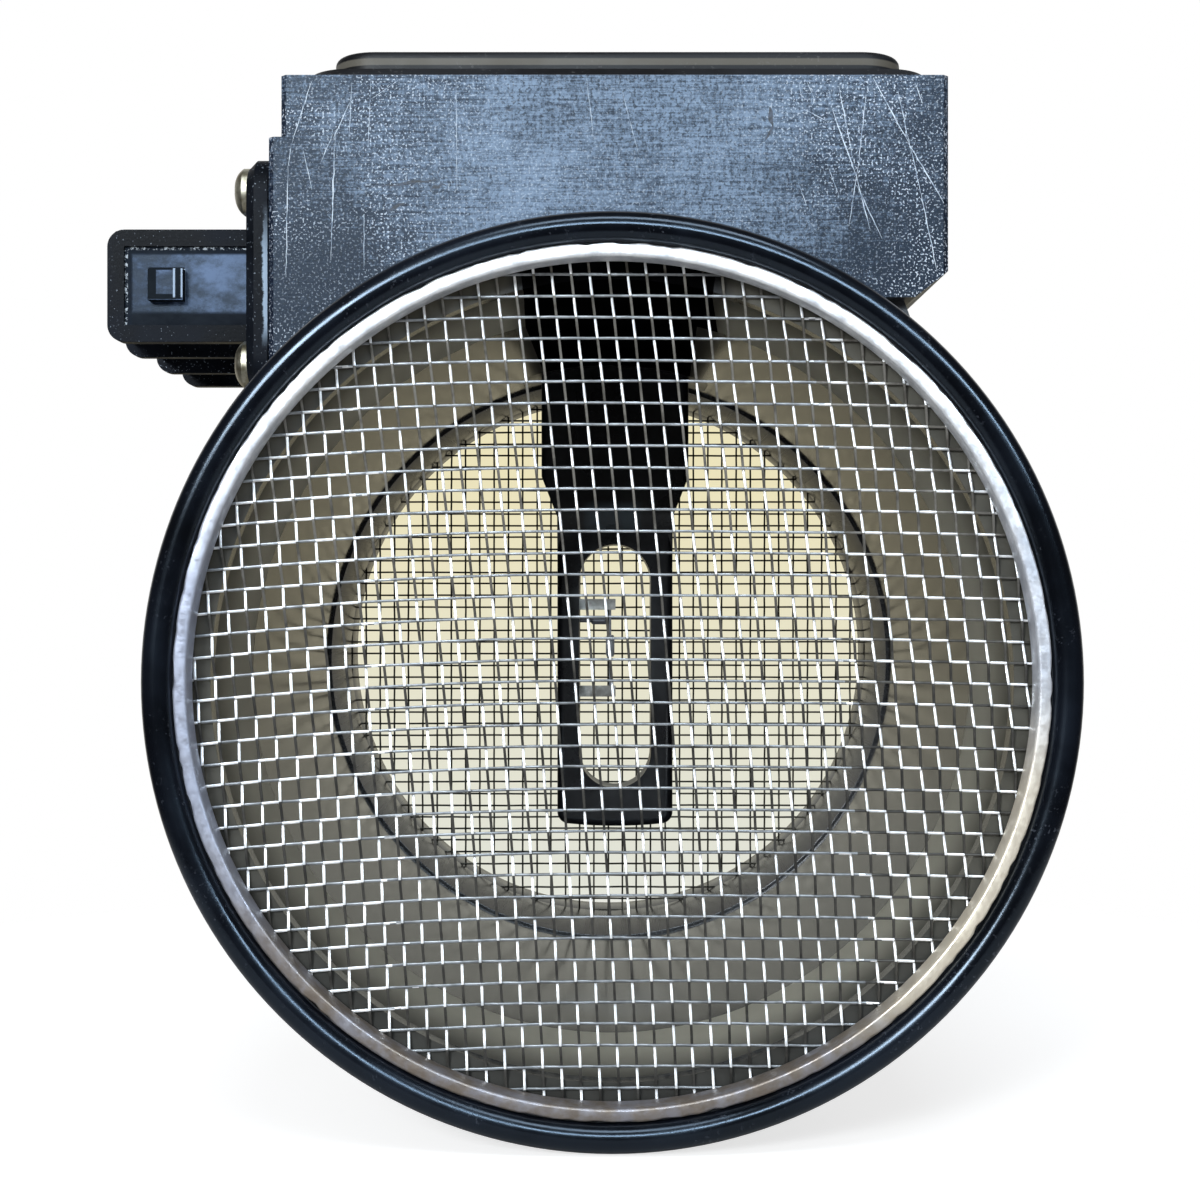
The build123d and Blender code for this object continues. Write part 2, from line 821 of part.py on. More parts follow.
def make_package(u, v, size):
    """Moulded package with broken top edges."""
    body = on_board(u, v, size)
    return chamfer(body.faces().sort_by(Axis.Z)[-1].edges(), size[2] * 0.2)


def make_lid_seal():
    """Bead of sealing compound in the rim's groove."""
    return sealing_bead(0)


def make_lid():
    """Moulded lid: thin flange on the rim, raised centre, and a lip inside the walls."""
    x0 = box_left + lid_margin_side + lid_offset
    x1 = box_right - lid_margin_side + lid_offset
    y0 = box_front + lid_margin_end
    y1 = box_back - lid_margin_end
    flange_top = box_top + lid_flange
    top = flange_top + lid_rise
    body = round_block(x0, x1, y0, y1, box_top, flange_top, lid_corner)
    body = chamfer(body.faces().sort_by(Axis.Z)[-1].edges(), lid_flange * 0.6)
    s = lid_step
    raised = round_block(x0 + s, x1 - s, y0 + s, y1 - s, flange_top - 0.5, top, lid_corner - 1)
    raised = fillet(raised.faces().sort_by(Axis.Z)[-1].edges(), 0.8)
    body += raised
    gap = slip_gap
    lip = round_block(
        cavity_left + gap, cavity_right - gap, cavity_front + gap, cavity_back - gap,
        box_top - lid_lip_depth, box_top + 0.5, box_corner)
    body += lip
    w = gap + lid_lip_width
    body -= round_block(
        cavity_left + w, cavity_right - w, cavity_front + w, cavity_back - w,
        box_top - lid_lip_depth - 1, box_top, box_corner)
    s += lid_skin
    return body - round_block(
        x0 + s, x1 - s, y0 + s, y1 - s, box_top - 1, top - lid_skin, lid_corner - lid_skin - 1)


def build():
    """Every piece of the sensor, by name."""
    pieces = {
        "housing": make_housing(),
        "inlet_seal": make_inlet_seal(),
        "inlet_ring": make_inlet_ring(),
        "inlet_screen": make_inlet_screen(),
        "outlet_sleeve": make_outlet_sleeve(),
        "outlet_screen": make_outlet_screen(),
        "outlet_ring": make_outlet_ring(),
        "probe": make_probe(),
        "probe_gasket": make_probe_gasket(),
        "upper_post": make_post(post_upper_z),
        "lower_post": make_post(post_lower_z),
        "hot_element": make_hot_element(),
        "temperature_element": make_temperature_element(),
        "connector_header": make_connector_header(),
        "connector_gasket": make_connector_gasket(),
        "base_plate": make_base_plate(),
        "circuit_board": make_circuit_board(),
        "control_chip": make_package(0.3, 0.55, control_chip_size),
        "amplifier_chip": make_package(0.62, 0.3, amplifier_chip_size),
        "bridge_resistor": on_board(0.6, 0.78, resistor_size),
        "power_transistor": make_package(0.86, 0.6, transistor_size),
        "lid_seal": make_lid_seal(),
        "lid": make_lid(),
    }
    for n, (u, v) in enumerate(((0.3, 0.14), (0.45, 0.14), (0.86, 0.16)), 1):
        pieces[f"capacitor_{n}"] = make_package(u, v, capacitor_size)
    for n in range(terminal_count):
        pieces[f"terminal_{n + 1}"] = make_terminal(n)
        pieces[f"terminal_strip_{n + 1}"] = make_terminal_strip(n)
    for n in range(probe_lead_count):
        pieces[f"probe_lead_{n + 1}"] = make_probe_lead(n)
    for n, (y, z) in enumerate(header_screw_places(), 1):
        pieces[f"header_screw_{n}"] = make_header_screw(y, z)
    for n, side in enumerate((-1, 1), 1):
        pieces[f"probe_screw_{n}"] = make_probe_screw(side)
    return pieces


for name, piece in build().items():
    export_step(piece, f"parts/{name}.step")
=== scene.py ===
import json
import math
import random

import bmesh
import bpy
from mathutils import Matrix, Vector, noise


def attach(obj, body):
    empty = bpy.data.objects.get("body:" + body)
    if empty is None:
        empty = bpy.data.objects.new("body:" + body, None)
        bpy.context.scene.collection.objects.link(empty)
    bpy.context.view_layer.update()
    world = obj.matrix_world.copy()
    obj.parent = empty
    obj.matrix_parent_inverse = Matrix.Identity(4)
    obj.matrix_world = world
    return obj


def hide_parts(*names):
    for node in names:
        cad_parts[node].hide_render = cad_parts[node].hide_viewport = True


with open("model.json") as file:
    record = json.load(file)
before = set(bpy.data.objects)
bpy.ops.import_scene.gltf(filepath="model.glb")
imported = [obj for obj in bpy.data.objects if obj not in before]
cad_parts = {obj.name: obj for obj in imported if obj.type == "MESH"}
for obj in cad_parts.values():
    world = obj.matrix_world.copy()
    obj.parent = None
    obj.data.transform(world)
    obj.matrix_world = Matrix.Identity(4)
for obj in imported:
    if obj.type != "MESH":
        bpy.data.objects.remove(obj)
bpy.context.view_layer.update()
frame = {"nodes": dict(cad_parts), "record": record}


# Studio: a white room with a soft light in front of and above the duct's inlet, a weaker one on the
# connector's side, and a small pale floor that fades out. The air seen through the bore is creamy.
mm = 0.001
view_from = Vector((-1.25, -198.0, 8.3)) * mm
view_lens = 57.0
floor_z = -47.6 * mm
floor_radius = 0.16
room_white = (1.0, 1.0, 1.0, 1.0)
bore_cream_high = (0.84, 0.77, 0.50, 1.0)
bore_cream_low = (0.76, 0.77, 0.68, 1.0)
mirror_high = (0.70, 0.70, 0.62, 1.0)
mirror_low = (0.66, 0.60, 0.42, 1.0)


def add_node(tree, kind, inputs=None, **settings):
    """A node with its settings, its inputs either fixed or linked from other nodes' outputs."""
    made = tree.nodes.new(kind)
    for key, value in settings.items():
        setattr(made, key, value)
    for key, value in (inputs or {}).items():
        if isinstance(value, bpy.types.NodeSocket):
            tree.links.new(value, made.inputs[key])
        else:
            made.inputs[key].default_value = value
    return made


def mix_colour(tree, share, low, high, blend="MIX"):
    made = add_node(tree, "ShaderNodeMix", data_type="RGBA", blend_type=blend)
    for index, value in ((0, share), (6, low), (7, high)):
        if isinstance(value, bpy.types.NodeSocket):
            tree.links.new(value, made.inputs[index])
        else:
            made.inputs[index].default_value = value
    return made.outputs[2]


def maths(tree, operation, a, b=0.0, clamp=False):
    made = add_node(tree, "ShaderNodeMath", {0: a, 1: b}, operation=operation, use_clamp=clamp)
    return made.outputs[0]


def ramp_between(tree, value, low, high, out_low=0.0, out_high=1.0):
    made = add_node(tree, "ShaderNodeMapRange",
                    {"Value": value, "From Min": low, "From Max": high,
                     "To Min": out_low, "To Max": out_high},
                    interpolation_type="SMOOTHSTEP")
    return made.outputs["Result"]


world = bpy.data.worlds.new("white_room")
bpy.context.scene.world = world
world.use_nodes = True
room = world.node_tree
room.nodes.clear()
direction = add_node(room, "ShaderNodeTexCoord").outputs["Generated"]
axes = add_node(room, "ShaderNodeSeparateXYZ", {0: direction})
path = add_node(room, "ShaderNodeLightPath")
seen = maths(room, "ADD", path.outputs["Is Camera Ray"], path.outputs["Is Transmission Ray"], clamp=True)
gloss = path.outputs["Is Glossy Ray"]
cream = mix_colour(room, ramp_between(room, axes.outputs["Z"], -0.16, 0.10), bore_cream_low, bore_cream_high)
seen_edge = ramp_between(room, axes.outputs["Y"], math.cos(math.radians(12)), math.cos(math.radians(9)))
gloss_edge = ramp_between(room, axes.outputs["Y"], math.cos(math.radians(40)), math.cos(math.radians(24)))
cream_share = maths(room, "MAXIMUM", maths(room, "MULTIPLY", seen_edge, seen),
                    maths(room, "MULTIPLY", gloss_edge, gloss))
# in the bore's polish the same air looks greyer above than below
mirrored = mix_colour(room, ramp_between(room, axes.outputs["Z"], -0.12, 0.16), mirror_low, mirror_high)
cream = mix_colour(room, gloss, cream, mirrored)
sky = mix_colour(room, cream_share, room_white, cream)
# shiny pieces meet a bright room behind and above, and a dimmer one on the viewer's side
gloss_back = ramp_between(room, axes.outputs["Y"], 0.35, 0.92, 0.05, 0.95)
gloss_level = maths(room, "MULTIPLY", gloss_back, ramp_between(room, axes.outputs["Z"], -0.5, 0.25, 0.55, 1.0))
level = maths(room, "ADD", 0.0, 0.46)
plain = maths(room, "MULTIPLY", level, maths(room, "SUBTRACT", 1.0, maths(room, "ADD", seen, gloss, clamp=True)))
level = maths(room, "ADD", plain, maths(room, "ADD", seen, maths(room, "MULTIPLY", gloss, gloss_level)))
background = add_node(room, "ShaderNodeBackground", {"Color": sky, "Strength": level})
add_node(room, "ShaderNodeOutputWorld", {"Surface": background.outputs[0]})


def soft_light(name, place, aim, size, power, colour):
    """A square soft light that points at a place on the sensor."""
    data = bpy.data.lights.new(name, "AREA")
    data.shape = "RECTANGLE"
    data.size = size[0]
    data.size_y = size[1]
    data.energy = power
    data.color = colour
    lamp = bpy.data.objects.new(name, data)
    lamp.location = place
    lamp.rotation_euler = (Vector(aim) - Vector(place)).to_track_quat("-Z", "Y").to_euler()
    bpy.context.scene.collection.objects.link(lamp)
    return lamp


soft_light("key_softbox", (-0.28, -0.59, 0.26), (0, 0, 0.01), (0.2, 0.18), 3.4, (0.93, 0.97, 1.0))
soft_light("overhead_softbox", (0.06, -0.34, 0.60), (0, 0, 0.02), (0.44, 0.17), 2.0, (0.82, 0.91, 1.0))
strip = soft_light("front_strip", (0.10, -0.60, 0.29), (0, 0, 0.02), (0.95, 0.07), 6.0, (0.72, 0.87, 1.0))
strip.visible_diffuse = False
low_fill = soft_light("low_fill", (0.42, -0.55, -0.10), (0, 0, 0), (0.3, 0.2), 0.5, (1.0, 0.93, 0.80))
low_fill.visible_glossy = False

bm = bmesh.new()
bmesh.ops.create_circle(bm, cap_ends=True, segments=96, radius=floor_radius)
bmesh.ops.translate(bm, verts=bm.verts, vec=(0, 0.02, floor_z))
floor_mesh = bpy.data.meshes.new("floor")
bm.to_mesh(floor_mesh)
bm.free()
floor = bpy.data.objects.new("floor", floor_mesh)
bpy.context.scene.collection.objects.link(floor)
pale = bpy.data.materials.new("pale_floor")
pale.use_nodes = True
tree = pale.node_tree
tree.nodes.clear()
place = add_node(tree, "ShaderNodeTexCoord").outputs["Object"]
flat = add_node(tree, "ShaderNodeVectorMath", {0: place, 1: (0, -0.02, 0)}, operation="ADD").outputs[0]
flat = add_node(tree, "ShaderNodeVectorMath", {0: flat, 1: (1, 1, 0)}, operation="MULTIPLY").outputs[0]
reach = add_node(tree, "ShaderNodeVectorMath", {0: flat}, operation="LENGTH").outputs["Value"]
shown = ramp_between(tree, reach, 0.6 * floor_radius, 0.98 * floor_radius, 1.0, 0.0)
matt = add_node(tree, "ShaderNodeBsdfDiffuse", {"Color": (0.5, 0.5, 0.5, 1)})
eye = add_node(tree, "ShaderNodeLightPath").outputs["Is Camera Ray"]
glow = add_node(tree, "ShaderNodeEmission", {"Color": (1, 1, 1, 1), "Strength": maths(tree, "MULTIPLY", eye, 0.72)})
lit = add_node(tree, "ShaderNodeAddShader", {0: matt.outputs[0], 1: glow.outputs[0]})
clear = add_node(tree, "ShaderNodeBsdfTransparent")
surface = add_node(tree, "ShaderNodeMixShader", {0: shown, 1: clear.outputs[0], 2: lit.outputs[0]})
add_node(tree, "ShaderNodeOutputMaterial", {"Surface": surface.outputs[0]})
floor_mesh.materials.append(pale)

camera_data = bpy.data.cameras.new("front_view")
camera_data.lens = view_lens
camera_data.sensor_width = 36.0
camera_data.clip_start = 0.01
camera = bpy.data.objects.new("front_view", camera_data)
camera.location = view_from
camera.rotation_euler = (math.pi / 2, 0, 0)
bpy.context.scene.collection.objects.link(camera)
bpy.context.scene.camera = camera
bpy.context.scene.view_settings.view_transform = "Standard"


# Housing: the tube, the electronics box on it and the pad for the connector are one black
# glass-filled moulding. The box's front is scratched and carries a painted slate-blue sheen, and the bore is
# polished.
face_y = 14.0
bore_limit = 43.0
pocket_limit = 44.4
wall_cuts = 3
lead_step = 13.0
lead_radius = 41.2
lead_start = -1.0
roof_middle = 0.9
roof_half = 9.8


def start_material(name):
    """A material with its nodes cleared but for the object's own coordinates; end_material adds the Principled
    finish.
    """
    made = bpy.data.materials.new(name)
    made.use_nodes = True
    tree = made.node_tree
    tree.nodes.clear()
    place = add_node(tree, "ShaderNodeTexCoord").outputs["Object"]
    return made, tree, place


def end_material(made, tree, inputs):
    """Joins the Principled finish to the material's output."""
    finish = add_node(tree, "ShaderNodeBsdfPrincipled", inputs)
    add_node(tree, "ShaderNodeOutputMaterial", {"Surface": finish.outputs[0]})
    return made


def stretched(tree, place, scale, turn=(0, 0, 0)):
    """The coordinates, scaled to each axis and turned."""
    return add_node(tree, "ShaderNodeMapping",
                    {"Vector": place, "Scale": scale, "Rotation": turn}).outputs[0]


def noise_value(tree, place, scale, detail=3.0, rough=0.5):
    made = add_node(tree, "ShaderNodeTexNoise",
                    {"Vector": place, "Scale": scale, "Detail": detail, "Roughness": rough})
    return made.outputs["Fac"]


def start_group(name, inputs, outputs):
    """An effect shared by several finishes."""
    group = bpy.data.node_groups.new(name, "ShaderNodeTree")
    for label, kind, value in inputs:
        socket = group.interface.new_socket(label, in_out="INPUT", socket_type=kind)
        if value is not None:
            socket.default_value = value
    for label, kind in outputs:
        group.interface.new_socket(label, in_out="OUTPUT", socket_type=kind)
    enter = group.nodes.new("NodeGroupInput")
    leave = group.nodes.new("NodeGroupOutput")
    return group, enter.outputs, leave.inputs


# fine skin of a moulded plastic: a shallow grain, flow clouds and sparse dust
moulded_skin, enter, leave = start_group(
    "moulded_skin",
    (("Place", "NodeSocketVector", None), ("Grain Size", "NodeSocketFloat", 0.4),
     ("Dust", "NodeSocketFloat", 0.3)),
    (("Grain", "NodeSocketFloat"), ("Clouds", "NodeSocketFloat"), ("Dust", "NodeSocketFloat")))
grain_scale = maths(moulded_skin, "DIVIDE", 1000.0, enter["Grain Size"])
grain = noise_value(moulded_skin, enter["Place"], grain_scale, 2.0)
clouds = noise_value(moulded_skin, enter["Place"], 90.0, 4.0, 0.6)
specks = noise_value(moulded_skin, enter["Place"], 2600.0, 1.0)
thick = noise_value(moulded_skin, enter["Place"], 160.0, 3.0, 0.65)
specks = maths(moulded_skin, "MULTIPLY", ramp_between(moulded_skin, specks, 0.62, 0.72),
               ramp_between(moulded_skin, thick, 0.45, 0.7))
moulded_skin.links.new(grain, leave["Grain"])
moulded_skin.links.new(ramp_between(moulded_skin, clouds, 0.3, 0.7), leave["Clouds"])
moulded_skin.links.new(maths(moulded_skin, "MULTIPLY", specks, enter["Dust"]), leave["Dust"])

def vector_maths(tree, operation, a, b=(0, 0, 0), output=0):
    return add_node(tree, "ShaderNodeVectorMath", {0: a, 1: b}, operation=operation).outputs[output]


def add_group(tree, group, inputs):
    made = tree.nodes.new("ShaderNodeGroup")
    made.node_tree = group
    for key, value in inputs.items():
        if isinstance(value, bpy.types.NodeSocket):
            tree.links.new(value, made.inputs[key])
        else:
            made.inputs[key].default_value = value
    return made.outputs


# outside of the tube and box: satin black with a fine grain
black_moulding, tree, place = start_material("black_moulding")
marks = add_group(tree, moulded_skin, {"Place": place, "Grain Size": 0.35, "Dust": 0.35})
tone = mix_colour(tree, marks["Clouds"], (0.012, 0.013, 0.016, 1), (0.026, 0.029, 0.036, 1))
tone = mix_colour(tree, marks["Dust"], tone, (0.20, 0.21, 0.23, 1))
bump = add_node(tree, "ShaderNodeBump", {"Strength": 0.25, "Distance": 0.00005, "Height": marks["Grain"]})
end_material(black_moulding, tree, {
    "Base Color": tone, "Roughness": ramp_between(tree, marks["Clouds"], 0.0, 1.0, 0.38, 0.5),
    "Normal": bump.outputs[0]})

# bore: polished by the core of the mould, with faint draw marks along the duct
bore_polish, tree, place = start_material("bore_polish")
marks = add_group(tree, moulded_skin, {"Place": place, "Grain Size": 0.5, "Dust": 0.12})
draws = noise_value(tree, stretched(tree, place, (900, 12, 900)), 1.0, 2.0)
tone = mix_colour(tree, marks["Clouds"], (0.010, 0.010, 0.012, 1), (0.018, 0.019, 0.022, 1))
tone = mix_colour(tree, marks["Dust"], tone, (0.25, 0.25, 0.24, 1))


def probe_reflection_stripe(tree, place):
    """A painted stripe of shadow and reflection: the probe's dark shadow and mirror image on the bore's roof ahead
    of it.
    """
    at = add_node(tree, "ShaderNodeSeparateXYZ", {0: place}).outputs
    aside = maths(tree, "ABSOLUTE", maths(tree, "SUBTRACT", at["X"], roof_middle * mm))
    inside = ramp_between(tree, aside, 0.0095, 0.0128, 1.0, 0.0)
    ahead = ramp_between(tree, at["Y"], 0.066, 0.070, 1.0, 0.0)
    return maths(tree, "MULTIPLY", maths(tree, "MULTIPLY", inside, ahead), ramp_between(tree, at["Z"], 0.025, 0.035))


# painted shadow and reflection of the probe on the bore's roof
stripe = probe_reflection_stripe(tree, place)
tone = mix_colour(tree, stripe, tone, (0.001, 0.001, 0.0015, 1))
# painted highlight: a pale bluish patch on the floor of the bore
bore_highlight_away = vector_maths(tree, "DISTANCE", place, (0.0, 0.031, -0.040), "Value")
bore_highlight = maths(tree, "MULTIPLY", ramp_between(tree, bore_highlight_away, 0.012, 0.003), marks["Clouds"])
tone = mix_colour(tree, maths(tree, "MULTIPLY", bore_highlight, 0.7), tone, (0.10, 0.125, 0.15, 1))
bump = add_node(tree, "ShaderNodeBump", {"Strength": 0.12, "Distance": 0.00004, "Height": draws})
along = add_node(tree, "ShaderNodeSeparateXYZ", {0: place}).outputs["Y"]
duller = ramp_between(tree, along, 0.0725, 0.0735, 0.0, 0.12)
duller = maths(tree, "ADD", duller, maths(tree, "MULTIPLY", stripe, 0.55))
end_material(bore_polish, tree, {
    "Base Color": tone,
    "Roughness": maths(tree, "ADD", duller, ramp_between(tree, draws, 0.3, 0.7, 0.10, 0.17)),
    "Normal": bump.outputs[0]})

# middle of that stripe: a painted shadow and reflection of the probe, quite dull and black
roof_painted_shadow, tree, place = start_material("roof_painted_shadow")
marks = add_group(tree, moulded_skin, {"Place": place, "Grain Size": 0.4, "Dust": 0.05})
tone = mix_colour(tree, marks["Clouds"], (0.0008, 0.0008, 0.001, 1), (0.003, 0.003, 0.0035, 1))
end_material(roof_painted_shadow, tree, {
    "Base Color": tone, "Roughness": ramp_between(tree, marks["Clouds"], 0.0, 1.0, 0.55, 0.7),
    "Specular IOR Level": 0.0})

# ledges in the bore: an olive film of intake dust, with painted light and painted shade over it
ledge_dust_and_painted_light, tree, place = start_material("ledge_dust_and_painted_light")
marks = add_group(tree, moulded_skin, {"Place": place, "Grain Size": 0.5, "Dust": 0.3})
tone = mix_colour(tree, marks["Clouds"], (0.050, 0.048, 0.038, 1), (0.090, 0.086, 0.07, 1))
at = add_node(tree, "ShaderNodeSeparateXYZ", {0: place}).outputs
# painted shade: darker towards the bottom
tone = mix_colour(tree, ramp_between(tree, at["Z"], -0.012, -0.034, 0.0, 0.7), tone, (0.020, 0.021, 0.021, 1))
# painted light: the long slope of the lead-in gets paler towards the bore, against the shade of its tilt
tone = mix_colour(tree, ramp_between(tree, at["Y"], -0.004, 0.010), tone, (0.37, 0.355, 0.29, 1))
# painted shadow and reflection of the probe on the roof
tone = mix_colour(tree, probe_reflection_stripe(tree, place), tone, (0.004, 0.004, 0.005, 1))
end_material(ledge_dust_and_painted_light, tree, {
    "Base Color": tone, "Roughness": ramp_between(tree, marks["Clouds"], 0.0, 1.0, 0.45, 0.6),
    "Specular IOR Level": 0.25})

# front of the box: a painted slate-blue sheen with painted glints over black moulding, brushed sideways and
# scratched
face_scratches = (
    ((288, 166), (286, 277), 0.10), ((335, 130), (331, 260), 0.12), ((352, 97), (333, 140), 0.09),
    ((333, 134), (320, 164), 0.09), ((312, 80), (292, 143), 0.09), ((292, 143), (288, 166), 0.08),
    ((371, 80), (368, 150), 0.05), ((352, 82), (349, 140), 0.05), ((364, 214), (364, 267), 0.09),
    ((303, 150), (312, 190), 0.07), ((402, 78), (370, 100), 0.06), ((456, 76), (457, 190), 0.05),
    ((448, 80), (443, 92), 0.05), ((799, 82), (803, 104), 0.07), ((807, 81), (816, 104), 0.08),
    ((831, 106), (857, 178), 0.13), ((857, 178), (870, 231), 0.10), ((839, 86), (852, 155), 0.10),
    ((866, 96), (859, 160), 0.10), ((859, 160), (849, 226), 0.08), ((873, 78), (908, 142), 0.13),
    ((908, 142), (944, 203), 0.12), ((898, 91), (910, 147), 0.09), ((910, 147), (921, 193), 0.13),
    ((921, 193), (937, 272), 0.10), ((798, 106), (829, 122), 0.07), ((915, 83), (923, 104), 0.07),
    ((829, 168), (839, 196), 0.06), ((798, 183), (807, 206), 0.06), ((857, 185), (882, 239), 0.09),
    ((586, 74), (594, 140), 0.04), ((622, 90), (640, 160), 0.04),
)
face_dents = (((770, 107), (773, 125), 0.5), ((773, 123), (766, 142), 0.4), ((380, 186), (440, 180), 0.3),
              ((384, 210), (405, 204), 0.4), ((506, 110), (514, 109), 0.3), ((430, 188), (446, 184), 0.5))
face_depth = 0.198 + 0.001 * face_y


def face_point(picked):
    """A point of the box's front, from its place in the front view in twelve-hundredths."""
    across_px, down_px = picked
    scale = face_depth / 1900.0
    return (view_from.x + (across_px - 600) * scale, 0.0, view_from.z - (down_px - 600) * scale)


box_face, tree, place = start_material("box_face")
marks = add_group(tree, moulded_skin, {"Place": place, "Grain Size": 0.28, "Dust": 0.5})
brush = noise_value(tree, stretched(tree, place, (210, 260, 4200)), 1.0, 4.0, 0.7)
weave = noise_value(tree, stretched(tree, place, (2600, 260, 420)), 1.0, 3.0, 0.6)
broad = noise_value(tree, place, 38.0, 4.0, 0.6)
patches = noise_value(tree, place, 95.0, 3.0, 0.6)
fibre_glints = ramp_between(tree, noise_value(tree, place, 4000.0, 1.0), 0.57, 0.66)
pits = ramp_between(tree, noise_value(tree, place, 2500.0, 1.0), 0.45, 0.37)
axes = add_node(tree, "ShaderNodeSeparateXYZ", {0: place})
# painted sheen: lighter towards the middle of the top, darker at the ends, with more painted glints there
middle = ramp_between(tree, maths(tree, "ABSOLUTE", axes.outputs["X"]), 0.008, 0.032, 1.0, 0.0)
shade = maths(tree, "ADD", maths(tree, "MULTIPLY", middle, 0.30), maths(tree, "MULTIPLY", broad, 1.35))
shade = maths(tree, "ADD", shade, maths(tree, "MULTIPLY", maths(tree, "SUBTRACT", brush, 0.5), 1.5))
shade = maths(tree, "ADD", shade, maths(tree, "MULTIPLY", maths(tree, "SUBTRACT", weave, 0.5), 0.6))
crystal = noise_value(tree, place, 2100.0, 3.0, 0.85)
shade = maths(tree, "ADD", shade, maths(tree, "MULTIPLY", maths(tree, "SUBTRACT", crystal, 0.5), 1.5))
corner = maths(tree, "MULTIPLY", ramp_between(tree, axes.outputs["Z"], 0.060, 0.044),
               ramp_between(tree, maths(tree, "ABSOLUTE", axes.outputs["X"]), 0.016, 0.030))
shade = maths(tree, "SUBTRACT", shade, maths(tree, "MULTIPLY", corner, 0.36))
# painted sheen: the slate-blue tone stands in for light on the black moulding
tone = mix_colour(tree, ramp_between(tree, shade, 0.38, 1.34), (0.004, 0.009, 0.024, 1), (0.20, 0.28, 0.40, 1))
# painted glints of glass fibre, thicker in patches and fewer in the middle
speckled = maths(tree, "MULTIPLY", fibre_glints, ramp_between(tree, patches, 0.36, 0.62, 0.25, 1.0))
speckled = maths(tree, "MULTIPLY", speckled, maths(tree, "SUBTRACT", 1.0, maths(tree, "MULTIPLY", middle, 0.6)))
pitted = maths(tree, "MULTIPLY", pits, ramp_between(tree, patches, 0.62, 0.40, 0.2, 1.0))
tone = mix_colour(tree, maths(tree, "MULTIPLY", pitted, 0.75), tone, (0.006, 0.009, 0.016, 1))
tone = mix_colour(tree, maths(tree, "MULTIPLY", speckled, 0.85), tone, (0.66, 0.74, 0.86, 1))
relief = maths(tree, "ADD", maths(tree, "MULTIPLY", brush, 0.6), maths(tree, "MULTIPLY", marks["Grain"], 0.8))
bump = add_node(tree, "ShaderNodeBump", {"Strength": 0.5, "Distance": 0.00006, "Height": relief})
end_material(box_face, tree, {
    "Base Color": tone, "Roughness": ramp_between(tree, brush, 0.3, 0.7, 0.36, 0.52),
    "Specular IOR Level": 0.22, "Specular Tint": (0.75, 0.88, 1.0, 1.0), "Normal": bump.outputs[0]})

# where the face was scored: raw bright edges of the moulding, and dents filled with dirt
scored, tree, place = start_material("scored_moulding")
broken = noise_value(tree, place, 900.0, 3.0, 0.7)
tone = mix_colour(tree, ramp_between(tree, broken, 0.34, 0.58), (0.16, 0.22, 0.32, 1), (0.66, 0.75, 0.86, 1))
end_material(scored, tree, {"Base Color": tone, "Roughness": ramp_between(tree, broken, 0.3, 0.7, 0.5, 0.7)})
dirt, tree, place = start_material("dirty_dent")
broken = noise_value(tree, place, 1100.0, 3.0, 0.7)
tone = mix_colour(tree, ramp_between(tree, broken, 0.36, 0.6), (0.006, 0.008, 0.012, 1), (0.05, 0.07, 0.11, 1))
end_material(dirt, tree, {"Base Color": tone, "Roughness": ramp_between(tree, broken, 0.3, 0.7, 0.5, 0.7)})


def score_line(bm, start, end, width, material_index, wobble):
    """A scratch on the box's front: a thin strip that wavers and tapers to both ends."""
    steps = max(4, int(math.dist(start, end) / 7))
    ax, _, az = face_point(start)
    bx, _, bz = face_point(end)
    across = Vector((bz - az, 0.0, ax - bx)).normalized()
    rails = []
    for n in range(steps + 1):
        share = n / steps
        half = 0.5 * width * mm * (0.25 + 0.75 * math.sin(math.pi * share)) * wobble.uniform(0.7, 1.25)
        middle = Vector((ax + (bx - ax) * share, (face_y - 0.012) * mm, az + (bz - az) * share))
        middle += across * wobble.uniform(-0.5, 0.5) * width * mm
        rails.append((bm.verts.new(middle - across * half), bm.verts.new(middle + across * half)))
    for (a, b), (c, d) in zip(rails, rails[1:]):
        strip = bm.faces.new((a, b, d, c))
        strip.material_index = material_index
        strip.normal_update()
        if strip.normal.y > 0:
            strip.normal_flip()


def merged_copy(node):
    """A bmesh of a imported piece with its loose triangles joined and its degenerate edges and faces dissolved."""
    bm = bmesh.new()
    bm.from_mesh(frame["nodes"][node].data)
    bmesh.ops.remove_doubles(bm, verts=bm.verts, dist=0.002 * mm)
    bmesh.ops.dissolve_degenerate(bm, edges=bm.edges, dist=0.001 * mm)
    return bm


def place_piece(bm, name, node, materials, smooth_below=32):
    """Turns a bmesh into the piece that is shown for a node, smooth except at sharp edges."""
    mesh = bpy.data.meshes.new(name)
    bm.normal_update()
    for face in bm.faces:
        face.smooth = True
    for edge in bm.edges:
        edge.smooth = edge.calc_face_angle(math.pi) < math.radians(smooth_below)
    bm.to_mesh(mesh)
    bm.free()
    for finish in materials:
        mesh.materials.append(finish)
    piece = bpy.data.objects.new(name, mesh)
    bpy.context.scene.collection.objects.link(piece)
    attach(piece, "root")
    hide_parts(node)
    return piece


def soften_edges(piece, width, angle=40, segments=2):
    """Small moulded radii on a piece's sharp edges."""
    edge = piece.modifiers.new("moulded_edges", "BEVEL")
    edge.width = width * mm
    edge.segments = segments
    edge.limit_method = "ANGLE"
    edge.angle_limit = math.radians(angle)
    edge.use_clamp_overlap = True
    edge.harden_normals = True
    return piece


